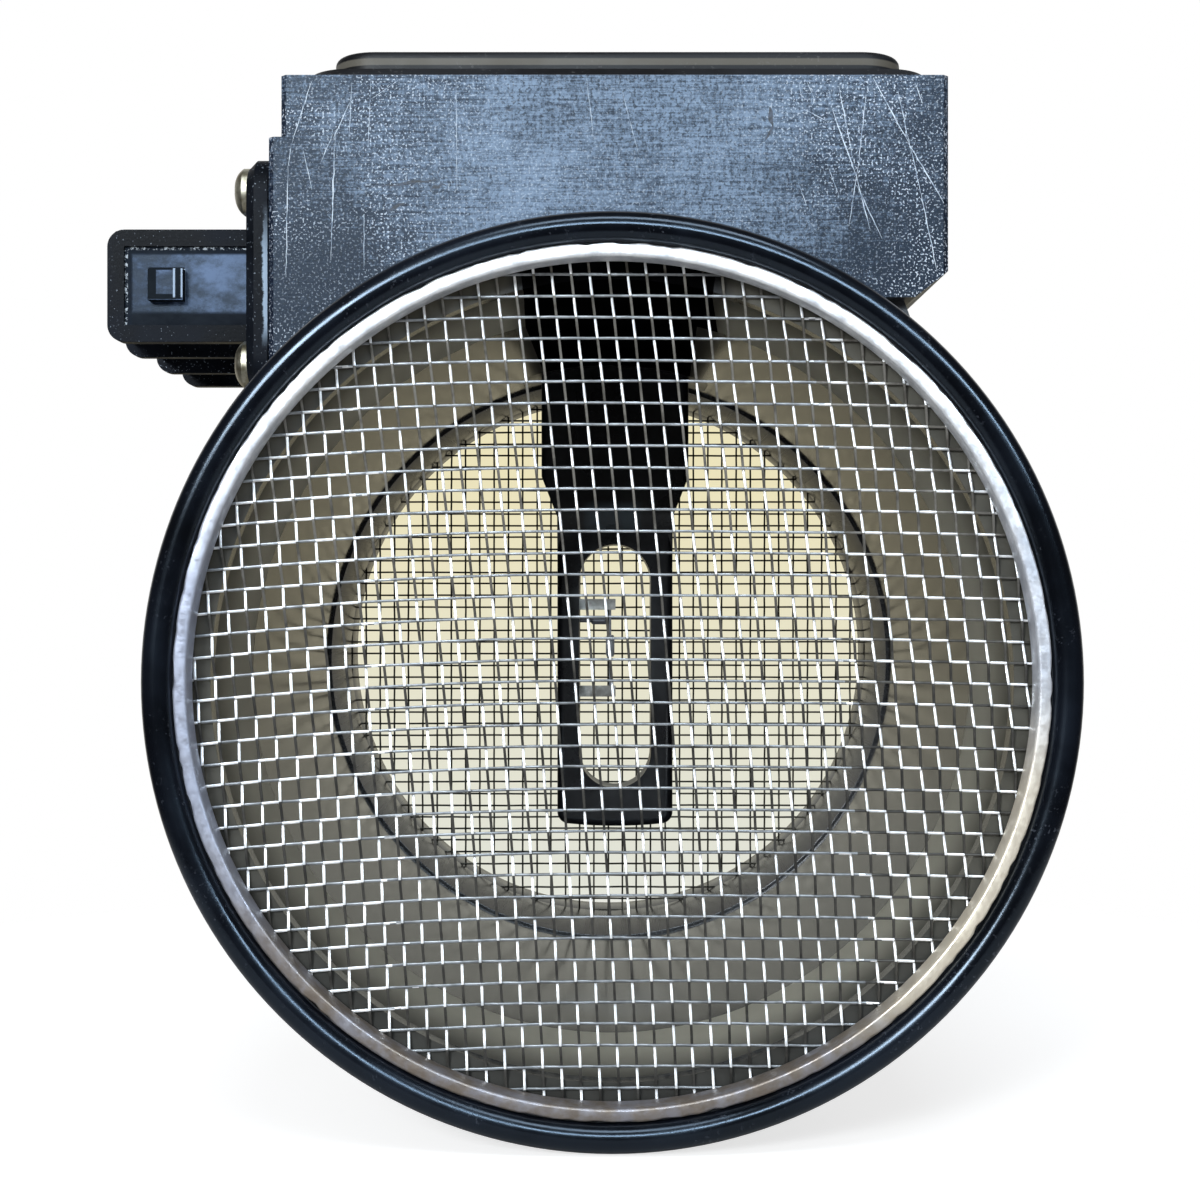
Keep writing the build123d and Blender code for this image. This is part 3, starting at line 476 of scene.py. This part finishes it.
bm = merged_copy("housing")
bm.normal_update()
for face in bm.faces:
    middle = face.calc_center_median() / mm
    reach = math.hypot(middle.x, middle.z)
    inward = face.normal.x * middle.x + face.normal.z * middle.z < 0
    outside = reach > pocket_limit and middle.z > 25
    if outside and face.normal.y < -0.5 and -0.2 < middle.y - face_y < 1.2:
        face.material_index = 1
    elif reach < pocket_limit and face.normal.y < -0.3 and middle.y < face_y:
        face.material_index = 5
    elif reach < bore_limit and inward:
        face.material_index = 2
# the lead into the bore is worn to a long slope
for vert in bm.verts:
    at = vert.co / mm
    if abs(at.y - lead_step) < 0.1 and abs(math.hypot(at.x, at.z) - lead_radius) < 0.2:
        vert.co.y = lead_start * mm
# the bore's wall in finer steps, so that it mirrors the light behind it without facets
wall = [face for face in bm.faces if face.material_index == 2]
for edge in list({edge for face in wall for edge in face.edges}):
    a, b = (vert.co / mm for vert in edge.verts)
    if abs(a.y - b.y) > 0.01:
        continue
    reach = (math.hypot(a.x, a.z) + math.hypot(b.x, b.z)) / 2
    cut = bmesh.ops.subdivide_edges(bm, edges=[edge], cuts=wall_cuts)
    for vert in cut["geom_inner"]:
        if isinstance(vert, bmesh.types.BMVert):
            away = math.hypot(vert.co.x, vert.co.z)
            vert.co.x *= reach * mm / away
            vert.co.z *= reach * mm / away
# faces of the roof ahead of the probe carry the painted shadow and reflection of the probe
for face in bm.faces:
    middle = face.calc_center_median() / mm
    if face.material_index in (2, 5) and middle.z > 25 and abs(middle.x - roof_middle) < roof_half:
        face.material_index = 6
wobble = random.Random(12)
for start, end, width in face_scratches:
    score_line(bm, start, end, width, 3, wobble)
for start, end, width in face_dents:
    score_line(bm, start, end, width, 4, wobble)
housing = place_piece(bm, "housing_moulding", "housing",
                      (black_moulding, box_face, bore_polish, scored, dirt, ledge_dust_and_painted_light, roof_painted_shadow))


# Inlet seal: a black rubber ring stretched over the spigot's end, with a half-round lip that the
# air cleaner's hose slides over. It is moulded and keeps a faint sheen of handling.
rim_y = -8.0
seal_outer = 47.5
seal_inner = 44.4
seal_root = 46.05
lip_half = (seal_outer - seal_inner) / 2


def turned_ring(outline, steps=192):
    """A ring turned about the duct's axis from corners of (radius, y, rounding, segments) in mm."""
    bm = bmesh.new()
    corners = [bm.verts.new((r * mm, y * mm, 0)) for r, y, rounding, segments in outline]
    for a, b in zip(corners, corners[1:] + corners[:1]):
        bm.edges.new((a, b))
    for corner, (r, y, rounding, segments) in zip(corners, outline):
        if rounding:
            bmesh.ops.bevel(bm, geom=[corner], offset=rounding * mm, offset_type="OFFSET", segments=segments,
                            profile=0.5, affect="VERTICES", material=-1)
    bmesh.ops.spin(bm, geom=bm.verts[:] + bm.edges[:], cent=(0, 0, 0), axis=(0, 1, 0), dvec=(0, 0, 0),
                   angle=2 * math.pi, steps=steps, use_merge=True)
    bmesh.ops.remove_doubles(bm, verts=bm.verts, dist=0.001 * mm)
    bmesh.ops.recalc_face_normals(bm, faces=bm.faces)
    return bm


seal_rubber, tree, place = start_material("seal_rubber")
marks = add_group(tree, moulded_skin, {"Place": place, "Grain Size": 0.6, "Dust": 0.25})
tone = mix_colour(tree, marks["Clouds"], (0.0015, 0.0018, 0.003, 1), (0.004, 0.0055, 0.010, 1))
tone = mix_colour(tree, marks["Dust"], tone, (0.14, 0.16, 0.20, 1))
bump = add_node(tree, "ShaderNodeBump", {"Strength": 0.15, "Distance": 0.00005, "Height": marks["Grain"]})
end_material(seal_rubber, tree, {
    "Base Color": tone, "Roughness": ramp_between(tree, marks["Clouds"], 0.0, 1.0, 0.17, 0.25),
    "Specular Tint": (0.66, 0.82, 1.0, 1.0), "Normal": bump.outputs[0]})

bm = turned_ring((
    (seal_inner, rim_y, lip_half * 0.99, 8), (seal_outer, rim_y, lip_half * 0.99, 8),
    (seal_outer, 6.4, 0.3, 2), (46.6, 8.0, 0.2, 2), (seal_root, 8.0, 0, 0),
    (seal_root, -6.4, 0, 0), (seal_inner, -6.4, 0, 0)))
place_piece(bm, "rubber_seal", "inlet_seal", (seal_rubber,))


# Inlet ring: bare aluminium, pressed in front of the screen. Its outer corner is nibbled and
# burred from years of cleaning, and its face is worn bright.
ring_outer = 44.3
ring_inner = 42.9
ring_front = -7.0
ring_back = -3.9

ring_metal, tree, place = start_material("worn_aluminium")
wear = noise_value(tree, place, 300.0, 5.0, 0.65)
fine = noise_value(tree, place, 1500.0, 3.0, 0.6)
height = add_node(tree, "ShaderNodeSeparateXYZ", {0: place})
# worn bright all over; painted shade turns it silver-blue below the top and brown at the bottom, and a painted cream
# reflection lies at the lower right
low_painted_shade = ramp_between(tree, height.outputs["Z"], -0.010, -0.032)
low_painted_shade = maths(tree, "MULTIPLY", low_painted_shade, ramp_between(tree, wear, 0.30, 0.62, 0.55, 1.0))
right_painted_reflection = maths(tree, "MULTIPLY", ramp_between(tree, height.outputs["X"], 0.018, 0.036),
               ramp_between(tree, height.outputs["Z"], 0.002, -0.012))
right_painted_reflection = maths(tree, "MULTIPLY", right_painted_reflection, ramp_between(tree, height.outputs["Z"], -0.040, -0.030))
tone = mix_colour(tree, ramp_between(tree, wear, 0.32, 0.62), (0.62, 0.64, 0.68, 1), (0.95, 0.96, 0.98, 1))
side_painted_shade = ramp_between(tree, height.outputs["Z"], 0.030, 0.008)
side_painted_shade = maths(tree, "MULTIPLY", side_painted_shade, ramp_between(tree, height.outputs["X"], 0.036, 0.026, 0.45, 1.0))
tone = mix_colour(tree, maths(tree, "MULTIPLY", side_painted_shade, 0.9), tone, (0.33, 0.36, 0.46, 1))
tone = mix_colour(tree, low_painted_shade, tone, (0.19, 0.155, 0.125, 1))
tone = mix_colour(tree, maths(tree, "MULTIPLY", right_painted_reflection, 0.85), tone, (0.86, 0.76, 0.60, 1))
bump = add_node(tree, "ShaderNodeBump", {
    "Strength": 0.5, "Distance": 0.00012, "Height": maths(tree, "ADD", wear, maths(tree, "MULTIPLY", fine, 0.4))})
end_material(ring_metal, tree, {
    "Base Color": tone, "Metallic": 0.5, "Roughness": ramp_between(tree, fine, 0.3, 0.7, 0.3, 0.5),
    "Normal": bump.outputs[0]})

bm = turned_ring((
    (ring_inner, ring_front, 0.3, 3), (ring_outer, ring_front, 0.25, 3),
    (ring_outer, ring_back, 0, 0), (ring_inner, ring_back, 0, 0)), steps=320)
for vert in bm.verts:
    at = vert.co / mm
    reach = math.hypot(at.x, at.z)
    if reach > 43.7 and at.y < -6.2:
        nibble = noise.noise(Vector((at.x, at.z, 3.0)) * 0.9) + 0.6 * noise.noise(Vector((at.x, at.z, 9.0)) * 2.6)
        drop = max(0.0, nibble) * 0.26
        vert.co.x *= (reach - drop) / reach
        vert.co.z *= (reach - drop) / reach
    if at.y < -6.2:
        vert.co.y += 0.05 * mm * noise.noise(Vector((at.x, at.z, 5.0)) * 0.7)
place_piece(bm, "retaining_ring", "inlet_ring", (ring_metal,))


# Wire cloths: plain-woven steel screens that calm the air. The inlet one is bright, with painted light
# and shade on its bends, and has been pushed out of square; the outlet one is finer, painted dark as shade, and
# still straight.
wire_sides = 6


def woven_cloth(radius, middle_y, pitch_x, pitch_z, wire, swing, per_crossing, lit_beyond, bend, seed):
    """A round piece of plain weave: each wire is a small ring drawn along its line and crimped.
    Its faces are numbered by their painted light: 0 plain, 1 painted lit where a bend faces the light, 2 painted
    shade where it faces away."""
    spread = random.Random(seed)
    cloth = bmesh.new()
    for upright in (True, False):
        pitch = pitch_x if upright else pitch_z
        crossing = pitch_z if upright else pitch_x
        reach = math.ceil((radius + 5) / crossing)
        half = reach * crossing
        steps = 2 * reach * per_crossing[0 if upright else 1]
        strand = bmesh.new()
        bmesh.ops.create_circle(strand, segments=wire_sides, radius=wire / 2 * mm)
        bmesh.ops.translate(strand, verts=strand.verts, vec=(0, 0, -half * mm))
        bmesh.ops.spin(strand, geom=strand.verts[:] + strand.edges[:], cent=(0, 0, 0), axis=(0, 0, 1),
                       dvec=(0, 0, 2 * half / steps * mm), angle=0, steps=steps, use_merge=False)
        if not upright:
            bmesh.ops.rotate(strand, verts=strand.verts, cent=(0, 0, 0),
                             matrix=Matrix.Rotation(math.pi / 2, 3, "Y"))
        one = bpy.data.meshes.new("strand")
        strand.to_mesh(one)
        strand.free()
        count = int(2 * (radius + 4) / pitch) + 1
        for n in range(count):
            place_in_row = n - count // 2
            offset = place_in_row * pitch + spread.uniform(-0.04, 0.04)
            wander = spread.uniform(-50, 50)
            phase = math.pi * place_in_row + (0 if upright else math.pi)
            crimp = swing[0 if upright else 1]
            before = len(cloth.verts)
            faces_before = len(cloth.faces)
            cloth.from_mesh(one)
            cloth.verts.ensure_lookup_table()
            cloth.faces.ensure_lookup_table()
            # painted light: faces of each bend that turn towards the light take the lit copy of the wire, those
            # turned away the shaded copy
            for face in cloth.faces[faces_before:]:
                middle = face.calc_center_median() / mm
                rising = math.sin(math.pi * (middle.z if upright else middle.x) / crossing + phase) < 0
                if upright:
                    face.material_index = 1 if rising else 2
                else:
                    turned_in = rising if middle.x < 0 else not rising
                    outer = abs(middle.x) > lit_beyond + spread.uniform(-2.0, 2.0)
                    face.material_index = 1 if turned_in and outer else 0
                    if middle.x > lit_beyond and not turned_in:
                        face.material_index = 2
            for vert in cloth.verts[before:]:
                at = vert.co / mm
                run = at.z if upright else at.x
                across = offset + 0.07 * noise.noise(Vector((run * 0.08, wander, 0)))
                turn = math.pi * run / crossing + phase
                at.y += middle_y + crimp * (0.9 * math.cos(turn) + 0.1 * math.cos(3 * turn))
                if upright:
                    at.x += across
                else:
                    at.z += across
                vert.co = bend(at) * mm
        bpy.data.meshes.remove(one)
    far = [v for v in cloth.verts if math.hypot(v.co.x, v.co.z) > radius * mm]
    bmesh.ops.delete(cloth, geom=far, context="VERTS")
    ends = [e for e in cloth.edges if e.is_boundary]
    bmesh.ops.holes_fill(cloth, edges=ends, sides=0)
    bmesh.ops.recalc_face_normals(cloth, faces=cloth.faces)
    return cloth


def pushed_askew(at):
    """How the inlet cloth has moved: uprights lean, and cross wires sag to the left."""
    lean = 0.082 * at.z + 0.00046 * at.z * at.z
    pull = 0.10 if at.x < 0 else 0.02
    return Vector((at.x - lean, at.y, at.z - 0.5 * pull / 44 * at.x * at.x))


def still_straight(at):
    return at


def wire_finish(name, dark, bright, metallic, rough_low, rough_high, below=1.0):
    """Drawn steel wire with dirt that has gathered along it, darker towards the bottom."""
    made, tree, place = start_material(name)
    dirt = noise_value(tree, place, 420.0, 4.0, 0.6)
    fine = noise_value(tree, place, 3000.0, 2.0)
    tone = mix_colour(tree, ramp_between(tree, dirt, 0.36, 0.6), dark, bright)
    height = add_node(tree, "ShaderNodeSeparateXYZ", {0: place}).outputs["Z"]
    low = ramp_between(tree, height, 0.024, -0.006)
    tone = mix_colour(tree, low, tone, vector_maths(tree, "MULTIPLY", tone, (below, below, below)))
    bump = add_node(tree, "ShaderNodeBump", {"Strength": 0.3, "Distance": 0.00003, "Height": fine})
    return end_material(made, tree, {
        "Base Color": tone, "Metallic": metallic,
        "Roughness": ramp_between(tree, dirt, 0.3, 0.7, rough_high, rough_low), "Normal": bump.outputs[0]})


inlet_wire = wire_finish("inlet_wire", (0.19, 0.20, 0.21, 1), (0.35, 0.37, 0.39, 1), 0.45, 0.35, 0.5, 0.7)
# lit and shaded copies of the inlet wire: painted light and painted shade on the bends
painted_lit_wire = wire_finish("inlet_wire_painted_lit", (0.62, 0.64, 0.66, 1), (0.97, 0.98, 0.99, 1), 0.25, 0.3, 0.42)
painted_shade_wire = wire_finish("inlet_wire_painted_shade", (0.085, 0.078, 0.066, 1), (0.20, 0.19, 0.17, 1), 0.3, 0.5, 0.65, 0.3)
# painted shade: the outlet wire's very dark colour stands in for the shade deep in the duct
outlet_wire_painted_shade = wire_finish("outlet_wire_painted_shade", (0.02, 0.018, 0.012, 1), (0.07, 0.062, 0.045, 1), 0.6, 0.4, 0.55)
bm = woven_cloth(44.1, -3.55, 1.93, 2.19, 0.31, (0.27, 0.06), (4, 3), 24.0, pushed_askew, 4)
place_piece(bm, "inlet_cloth", "inlet_screen", (inlet_wire, painted_lit_wire, painted_shade_wire), 60)
bm = woven_cloth(42.0, 95.75, 2.2, 1.8, 0.30, (0.2, 0.1), (3, 3), 50.0, still_straight, 8)
place_piece(bm, "outlet_cloth", "outlet_screen", (outlet_wire_painted_shade, outlet_wire_painted_shade, outlet_wire_painted_shade), 60)


# Outlet sleeve and ring: the sleeve is a smooth black liner in the outlet's counterbore, and the
# ring behind its screen is plain aluminium.
bm = turned_ring((
    (39.6, 73.6, 0.1, 2), (42.2, 73.6, 0, 0), (42.2, 95.4, 0, 0), (39.6, 95.4, 0, 0)))
place_piece(bm, "outlet_liner", "outlet_sleeve", (bore_polish,))
bm = turned_ring((
    (39.7, 96.1, 0.1, 2), (42.2, 96.1, 0, 0), (42.2, 104.1, 0.4, 3), (39.7, 104.1, 0.4, 3)))
for face in bm.faces:
    middle = face.calc_center_median() / mm
    if math.hypot(middle.x, middle.z) < 39.75:
        face.material_index = 1
place_piece(bm, "outlet_retaining_ring", "outlet_ring", (ring_metal, bore_polish))


# Probe: black moulding that hangs from the box into the air, with a windowed blade. It is deep
# black and satin, with a painted highlight above the window.
probe_moulding, tree, place = start_material("probe_moulding")
marks = add_group(tree, moulded_skin, {"Place": place, "Grain Size": 0.5, "Dust": 0.15})
tone = mix_colour(tree, marks["Clouds"], (0.006, 0.006, 0.008, 1), (0.014, 0.015, 0.018, 1))
tone = mix_colour(tree, marks["Dust"], tone, (0.12, 0.12, 0.12, 1))
at = add_node(tree, "ShaderNodeSeparateXYZ", {0: place}).outputs
aside = maths(tree, "ABSOLUTE", maths(tree, "SUBTRACT", at["X"], 0.0004))
above = maths(tree, "ABSOLUTE", maths(tree, "SUBTRACT", at["Z"], 0.0196))
# painted highlight: a bluish patch above the window
shiny = maths(tree, "MULTIPLY", ramp_between(tree, aside, 0.0044, 0.0026), ramp_between(tree, above, 0.0024, 0.0012))
shiny = maths(tree, "MULTIPLY", shiny, ramp_between(tree, marks["Clouds"], 0.0, 0.5, 0.35, 1.0))
tone = mix_colour(tree, shiny, tone, (0.05, 0.08, 0.105, 1))
bump = add_node(tree, "ShaderNodeBump", {"Strength": 0.15, "Distance": 0.00005, "Height": marks["Grain"]})
end_material(probe_moulding, tree, {
    "Base Color": tone, "Roughness": ramp_between(tree, marks["Clouds"], 0.0, 1.0, 0.26, 0.4),
    "Normal": bump.outputs[0]})
place_piece(merged_copy("probe"), "probe_body", "probe", (probe_moulding,))


# Connector header: a screwed flange and a ribbed shell in black moulding, with a painted cloudy
# blue sheen, painted glints and a painted highlight line along the flange's edge.
panel_y = 25.3
panel_left = -57.1
panel_top = 49.8
flange_y = 16.0
nub_middle = (-52.2, 45.42)
nub_half = (2.1, 1.95)
nub_light_middle = (-52.05, 45.45)
nub_light_half = (1.05, 1.4)

header_moulding, tree, place = start_material("header_moulding")
marks = add_group(tree, moulded_skin, {"Place": place, "Grain Size": 0.3, "Dust": 0.12})
at = add_node(tree, "ShaderNodeSeparateXYZ", {0: place}).outputs
fray = noise_value(tree, place, 600.0, 4.0, 0.7)
tone = mix_colour(tree, marks["Clouds"], (0.003, 0.004, 0.006, 1), (0.010, 0.013, 0.020, 1))
# painted glints of glass fibre, and a painted highlight line down the flange's edge beside the box
fibre_glints = ramp_between(tree, noise_value(tree, place, 4200.0, 0.0), 0.75, 0.80)
tone = mix_colour(tree, maths(tree, "ADD", marks["Dust"], maths(tree, "MULTIPLY", fibre_glints, 0.4), clamp=True),
                  tone, (0.42, 0.50, 0.60, 1))
edge = maths(tree, "ADD", at["X"], maths(tree, "MULTIPLY", maths(tree, "SUBTRACT", fray, 0.5), 0.0012))
flange_edge_highlight = maths(tree, "MULTIPLY", ramp_between(tree, edge, -0.03935, -0.0391),
               ramp_between(tree, at["Y"], (flange_y + 0.9) * mm, (flange_y + 0.6) * mm))
flange_edge_highlight = maths(tree, "MULTIPLY", flange_edge_highlight, ramp_between(tree, at["Z"], 0.0365, 0.040))
flange_edge_highlight = maths(tree, "MULTIPLY", flange_edge_highlight, ramp_between(tree, at["Z"], 0.0535, 0.0455, 0.0, 1.0))
tone = mix_colour(tree, flange_edge_highlight, tone, (0.34, 0.45, 0.58, 1))
bump = add_node(tree, "ShaderNodeBump", {"Strength": 0.3, "Distance": 0.00006, "Height": marks["Grain"]})
end_material(header_moulding, tree, {
    "Base Color": tone, "Roughness": ramp_between(tree, marks["Clouds"], 0.0, 1.0, 0.42, 0.54),
    "Specular IOR Level": 0.05, "Normal": bump.outputs[0]})

# sunk panel of the shell: a painted cloudy blue sheen over a cloudy grain, chalky dots along its rim, painted shade
# round the nub and along the rim, and painted highlight lines by the nub
header_panel, tree, place = start_material("header_panel")
at = add_node(tree, "ShaderNodeSeparateXYZ", {0: place}).outputs
bloom_and_sheen = noise_value(tree, stretched(tree, place, (300, 230, 420)), 1.0, 5.0, 0.72)
fray = noise_value(tree, place, 1900.0, 3.0, 0.7)
# painted sheen: lighter towards the end nearer the box
lighter = ramp_between(tree, at["X"], (panel_left + 1.5) * mm, -0.043, -0.06, 0.12)
tone = mix_colour(tree, ramp_between(tree, maths(tree, "ADD", bloom_and_sheen, lighter), 0.38, 0.76),
                  (0.003, 0.008, 0.024, 1), (0.12, 0.18, 0.31, 1))


def outside_of(tree, at, middle, half):
    """How far a place lies outside of an upright rectangle on the panel."""
    side = maths(tree, "ABSOLUTE", maths(tree, "SUBTRACT", at["X"], middle[0] * mm))
    above = maths(tree, "ABSOLUTE", maths(tree, "SUBTRACT", at["Z"], middle[1] * mm))
    return maths(tree, "MAXIMUM", maths(tree, "SUBTRACT", side, half[0] * mm),
                 maths(tree, "SUBTRACT", above, half[1] * mm))


# painted shade: a dark outline round the nub
nub_shade_outline = maths(tree, "MULTIPLY",
                 ramp_between(tree, outside_of(tree, at, nub_light_middle, nub_light_half), -0.00006, 0.00006),
                 ramp_between(tree, outside_of(tree, at, nub_middle, nub_half), 0.00008, -0.00004))
tone = mix_colour(tree, nub_shade_outline, tone, (0.002, 0.003, 0.005, 1))
# painted highlights: light lines down the right edges of the nub
for line_x in (nub_light_middle[0] + nub_light_half[0], nub_middle[0] + nub_half[0]):
    near = maths(tree, "ABSOLUTE", maths(tree, "SUBTRACT", at["X"], line_x * mm))
    lit = maths(tree, "MULTIPLY", ramp_between(tree, near, 0.00016, 0.00008),
                ramp_between(tree, outside_of(tree, at, nub_middle, (9.0, nub_half[1])), -0.0001, -0.0003))
    tone = mix_colour(tree, lit, tone, (0.36, 0.46, 0.60, 1))
rim = maths(tree, "MINIMUM", maths(tree, "SUBTRACT", at["X"], panel_left * mm),
            maths(tree, "SUBTRACT", panel_top * mm, at["Z"]))
# painted shade: dark along the panel's low edge and along its left and top rim
low_edge_shade = ramp_between(tree, at["Z"], 0.0418, 0.0424, 1.0, 0.0)
tone = mix_colour(tree, low_edge_shade, tone, (0.004, 0.005, 0.009, 1))
dots = maths(tree, "MULTIPLY", ramp_between(tree, rim, 0.00042, 0.00028), ramp_between(tree, fray, 0.50, 0.58))
rim_painted_shade = ramp_between(tree, rim, 0.00105, 0.0007)
tone = mix_colour(tree, rim_painted_shade, tone, (0.004, 0.006, 0.012, 1))
dull = maths(tree, "MAXIMUM", maths(tree, "MAXIMUM", nub_shade_outline, low_edge_shade), rim_painted_shade)
tone = mix_colour(tree, dots, tone, (0.46, 0.52, 0.58, 1))
bump = add_node(tree, "ShaderNodeBump", {"Strength": 0.4, "Distance": 0.00006, "Height": bloom_and_sheen})
end_material(header_panel, tree, {
    "Base Color": tone,
    "Roughness": maths(tree, "ADD", maths(tree, "MULTIPLY", dull, 0.35), ramp_between(tree, bloom_and_sheen, 0.3, 0.7, 0.34, 0.5)),
    "Specular IOR Level": 0.2,
    "Specular Tint": (0.7, 0.85, 1.0, 1.0), "Normal": bump.outputs[0]})

def whole_faces(bm):
    """Joins the triangles of each flat face, so that a small radius can run along its edges."""
    bmesh.ops.dissolve_limit(bm, angle_limit=math.radians(0.8), verts=bm.verts, edges=bm.edges,
                             use_dissolve_boundaries=False, delimit={"MATERIAL"})
    return bm


bm = merged_copy("connector_header")
bm.normal_update()
for face in bm.faces:
    middle = face.calc_center_median() / mm
    if face.normal.y < -0.9 and panel_left - 0.1 < middle.x < -41.4 and 40.5 < middle.z < panel_top + 0.1:
        face.material_index = 1
header = place_piece(whole_faces(bm), "header_body", "connector_header",
                     (header_moulding, header_panel))
soften_edges(header, 0.22)


# Lid: a moulded cover pressed on the box's rim, dull black with a dusty olive-grey raised part.
lid_moulding, tree, place = start_material("lid_moulding")
marks = add_group(tree, moulded_skin, {"Place": place, "Grain Size": 0.3, "Dust": 0.3})
height = add_node(tree, "ShaderNodeSeparateXYZ", {0: place}).outputs["Z"]
dusty = ramp_between(tree, height, 69.45 * mm, 69.6 * mm)
dusty = maths(tree, "MULTIPLY", dusty, ramp_between(tree, height, 70.2 * mm, 70.4 * mm, 1.0, 0.0))
tone = mix_colour(tree, marks["Clouds"], (0.005, 0.005, 0.006, 1), (0.014, 0.015, 0.018, 1))
tone = mix_colour(tree, dusty, tone, (0.105, 0.098, 0.082, 1))
tone = mix_colour(tree, marks["Dust"], tone, (0.22, 0.22, 0.22, 1))
bump = add_node(tree, "ShaderNodeBump", {"Strength": 0.25, "Distance": 0.00005, "Height": marks["Grain"]})
end_material(lid_moulding, tree, {
    "Base Color": tone, "Roughness": ramp_between(tree, marks["Clouds"], 0.0, 1.0, 0.45, 0.6),
    "Specular IOR Level": 0.2, "Normal": bump.outputs[0]})
lid = place_piece(whole_faces(merged_copy("lid")), "lid_cover", "lid", (lid_moulding,))
soften_edges(lid, 0.3)


# Carried-over small pieces keep their solids and get their finishes here.
def plain_metal(name, dark, bright, rough):
    made, tree, place = start_material(name)
    wear = noise_value(tree, place, 500.0, 4.0, 0.6)
    tone = mix_colour(tree, ramp_between(tree, wear, 0.35, 0.65), dark, bright)
    bump = add_node(tree, "ShaderNodeBump", {"Strength": 0.3, "Distance": 0.00004, "Height": wear})
    return end_material(made, tree, {
        "Base Color": tone, "Metallic": 1.0, "Roughness": ramp_between(tree, wear, 0.3, 0.7, rough, rough + 0.15),
        "Normal": bump.outputs[0]})


def plain_body(name, dark, bright, rough):
    made, tree, place = start_material(name)
    marks = add_group(tree, moulded_skin, {"Place": place, "Grain Size": 0.3, "Dust": 0.2})
    tone = mix_colour(tree, marks["Clouds"], dark, bright)
    bump = add_node(tree, "ShaderNodeBump", {"Strength": 0.2, "Distance": 0.00004, "Height": marks["Grain"]})
    return end_material(made, tree, {
        "Base Color": tone, "Roughness": ramp_between(tree, marks["Clouds"], 0.0, 1.0, rough, rough + 0.12),
        "Normal": bump.outputs[0]})


finishes = {
    "post_metal": plain_metal("post_metal", (0.35, 0.33, 0.30, 1), (0.60, 0.58, 0.54, 1), 0.3),
    "screw_metal": plain_metal("screw_metal", (0.30, 0.26, 0.17, 1), (0.66, 0.62, 0.50, 1), 0.36),
    "plate_metal": plain_metal("plate_metal", (0.60, 0.61, 0.63, 1), (0.76, 0.77, 0.79, 1), 0.32),
    "tinned_metal": plain_metal("tinned_metal", (0.60, 0.61, 0.61, 1), (0.80, 0.80, 0.79, 1), 0.25),
    "strip_metal": plain_metal("strip_metal", (0.62, 0.36, 0.22, 1), (0.80, 0.50, 0.32, 1), 0.3),
    "element_ceramic": plain_body("element_ceramic", (0.30, 0.34, 0.40, 1), (0.50, 0.54, 0.60, 1), 0.22),
    "element_glass": plain_body("element_glass", (0.10, 0.11, 0.13, 1), (0.20, 0.21, 0.24, 1), 0.12),
    "board_ceramic": plain_body("board_ceramic", (0.80, 0.80, 0.76, 1), (0.88, 0.88, 0.84, 1), 0.4),
    "package_plastic": plain_body("package_plastic", (0.018, 0.018, 0.018, 1), (0.035, 0.035, 0.035, 1), 0.45),
    "capacitor_body": plain_body("capacitor_body", (0.50, 0.38, 0.20, 1), (0.62, 0.48, 0.26, 1), 0.35),
    "sealing_compound": plain_body("sealing_compound", (0.25, 0.25, 0.26, 1), (0.34, 0.34, 0.35, 1), 0.5),
    "seal_rubber": seal_rubber,
}
shown = {"housing", "inlet_seal", "inlet_ring", "inlet_screen", "outlet_screen", "outlet_sleeve", "outlet_ring",
         "probe", "connector_header", "lid"}
for row in frame["record"]["subparts"]:
    if row["node"] not in shown:
        mesh = frame["nodes"][row["node"]].data
        mesh.materials.clear()
        mesh.materials.append(finishes[row["material_slot"]])
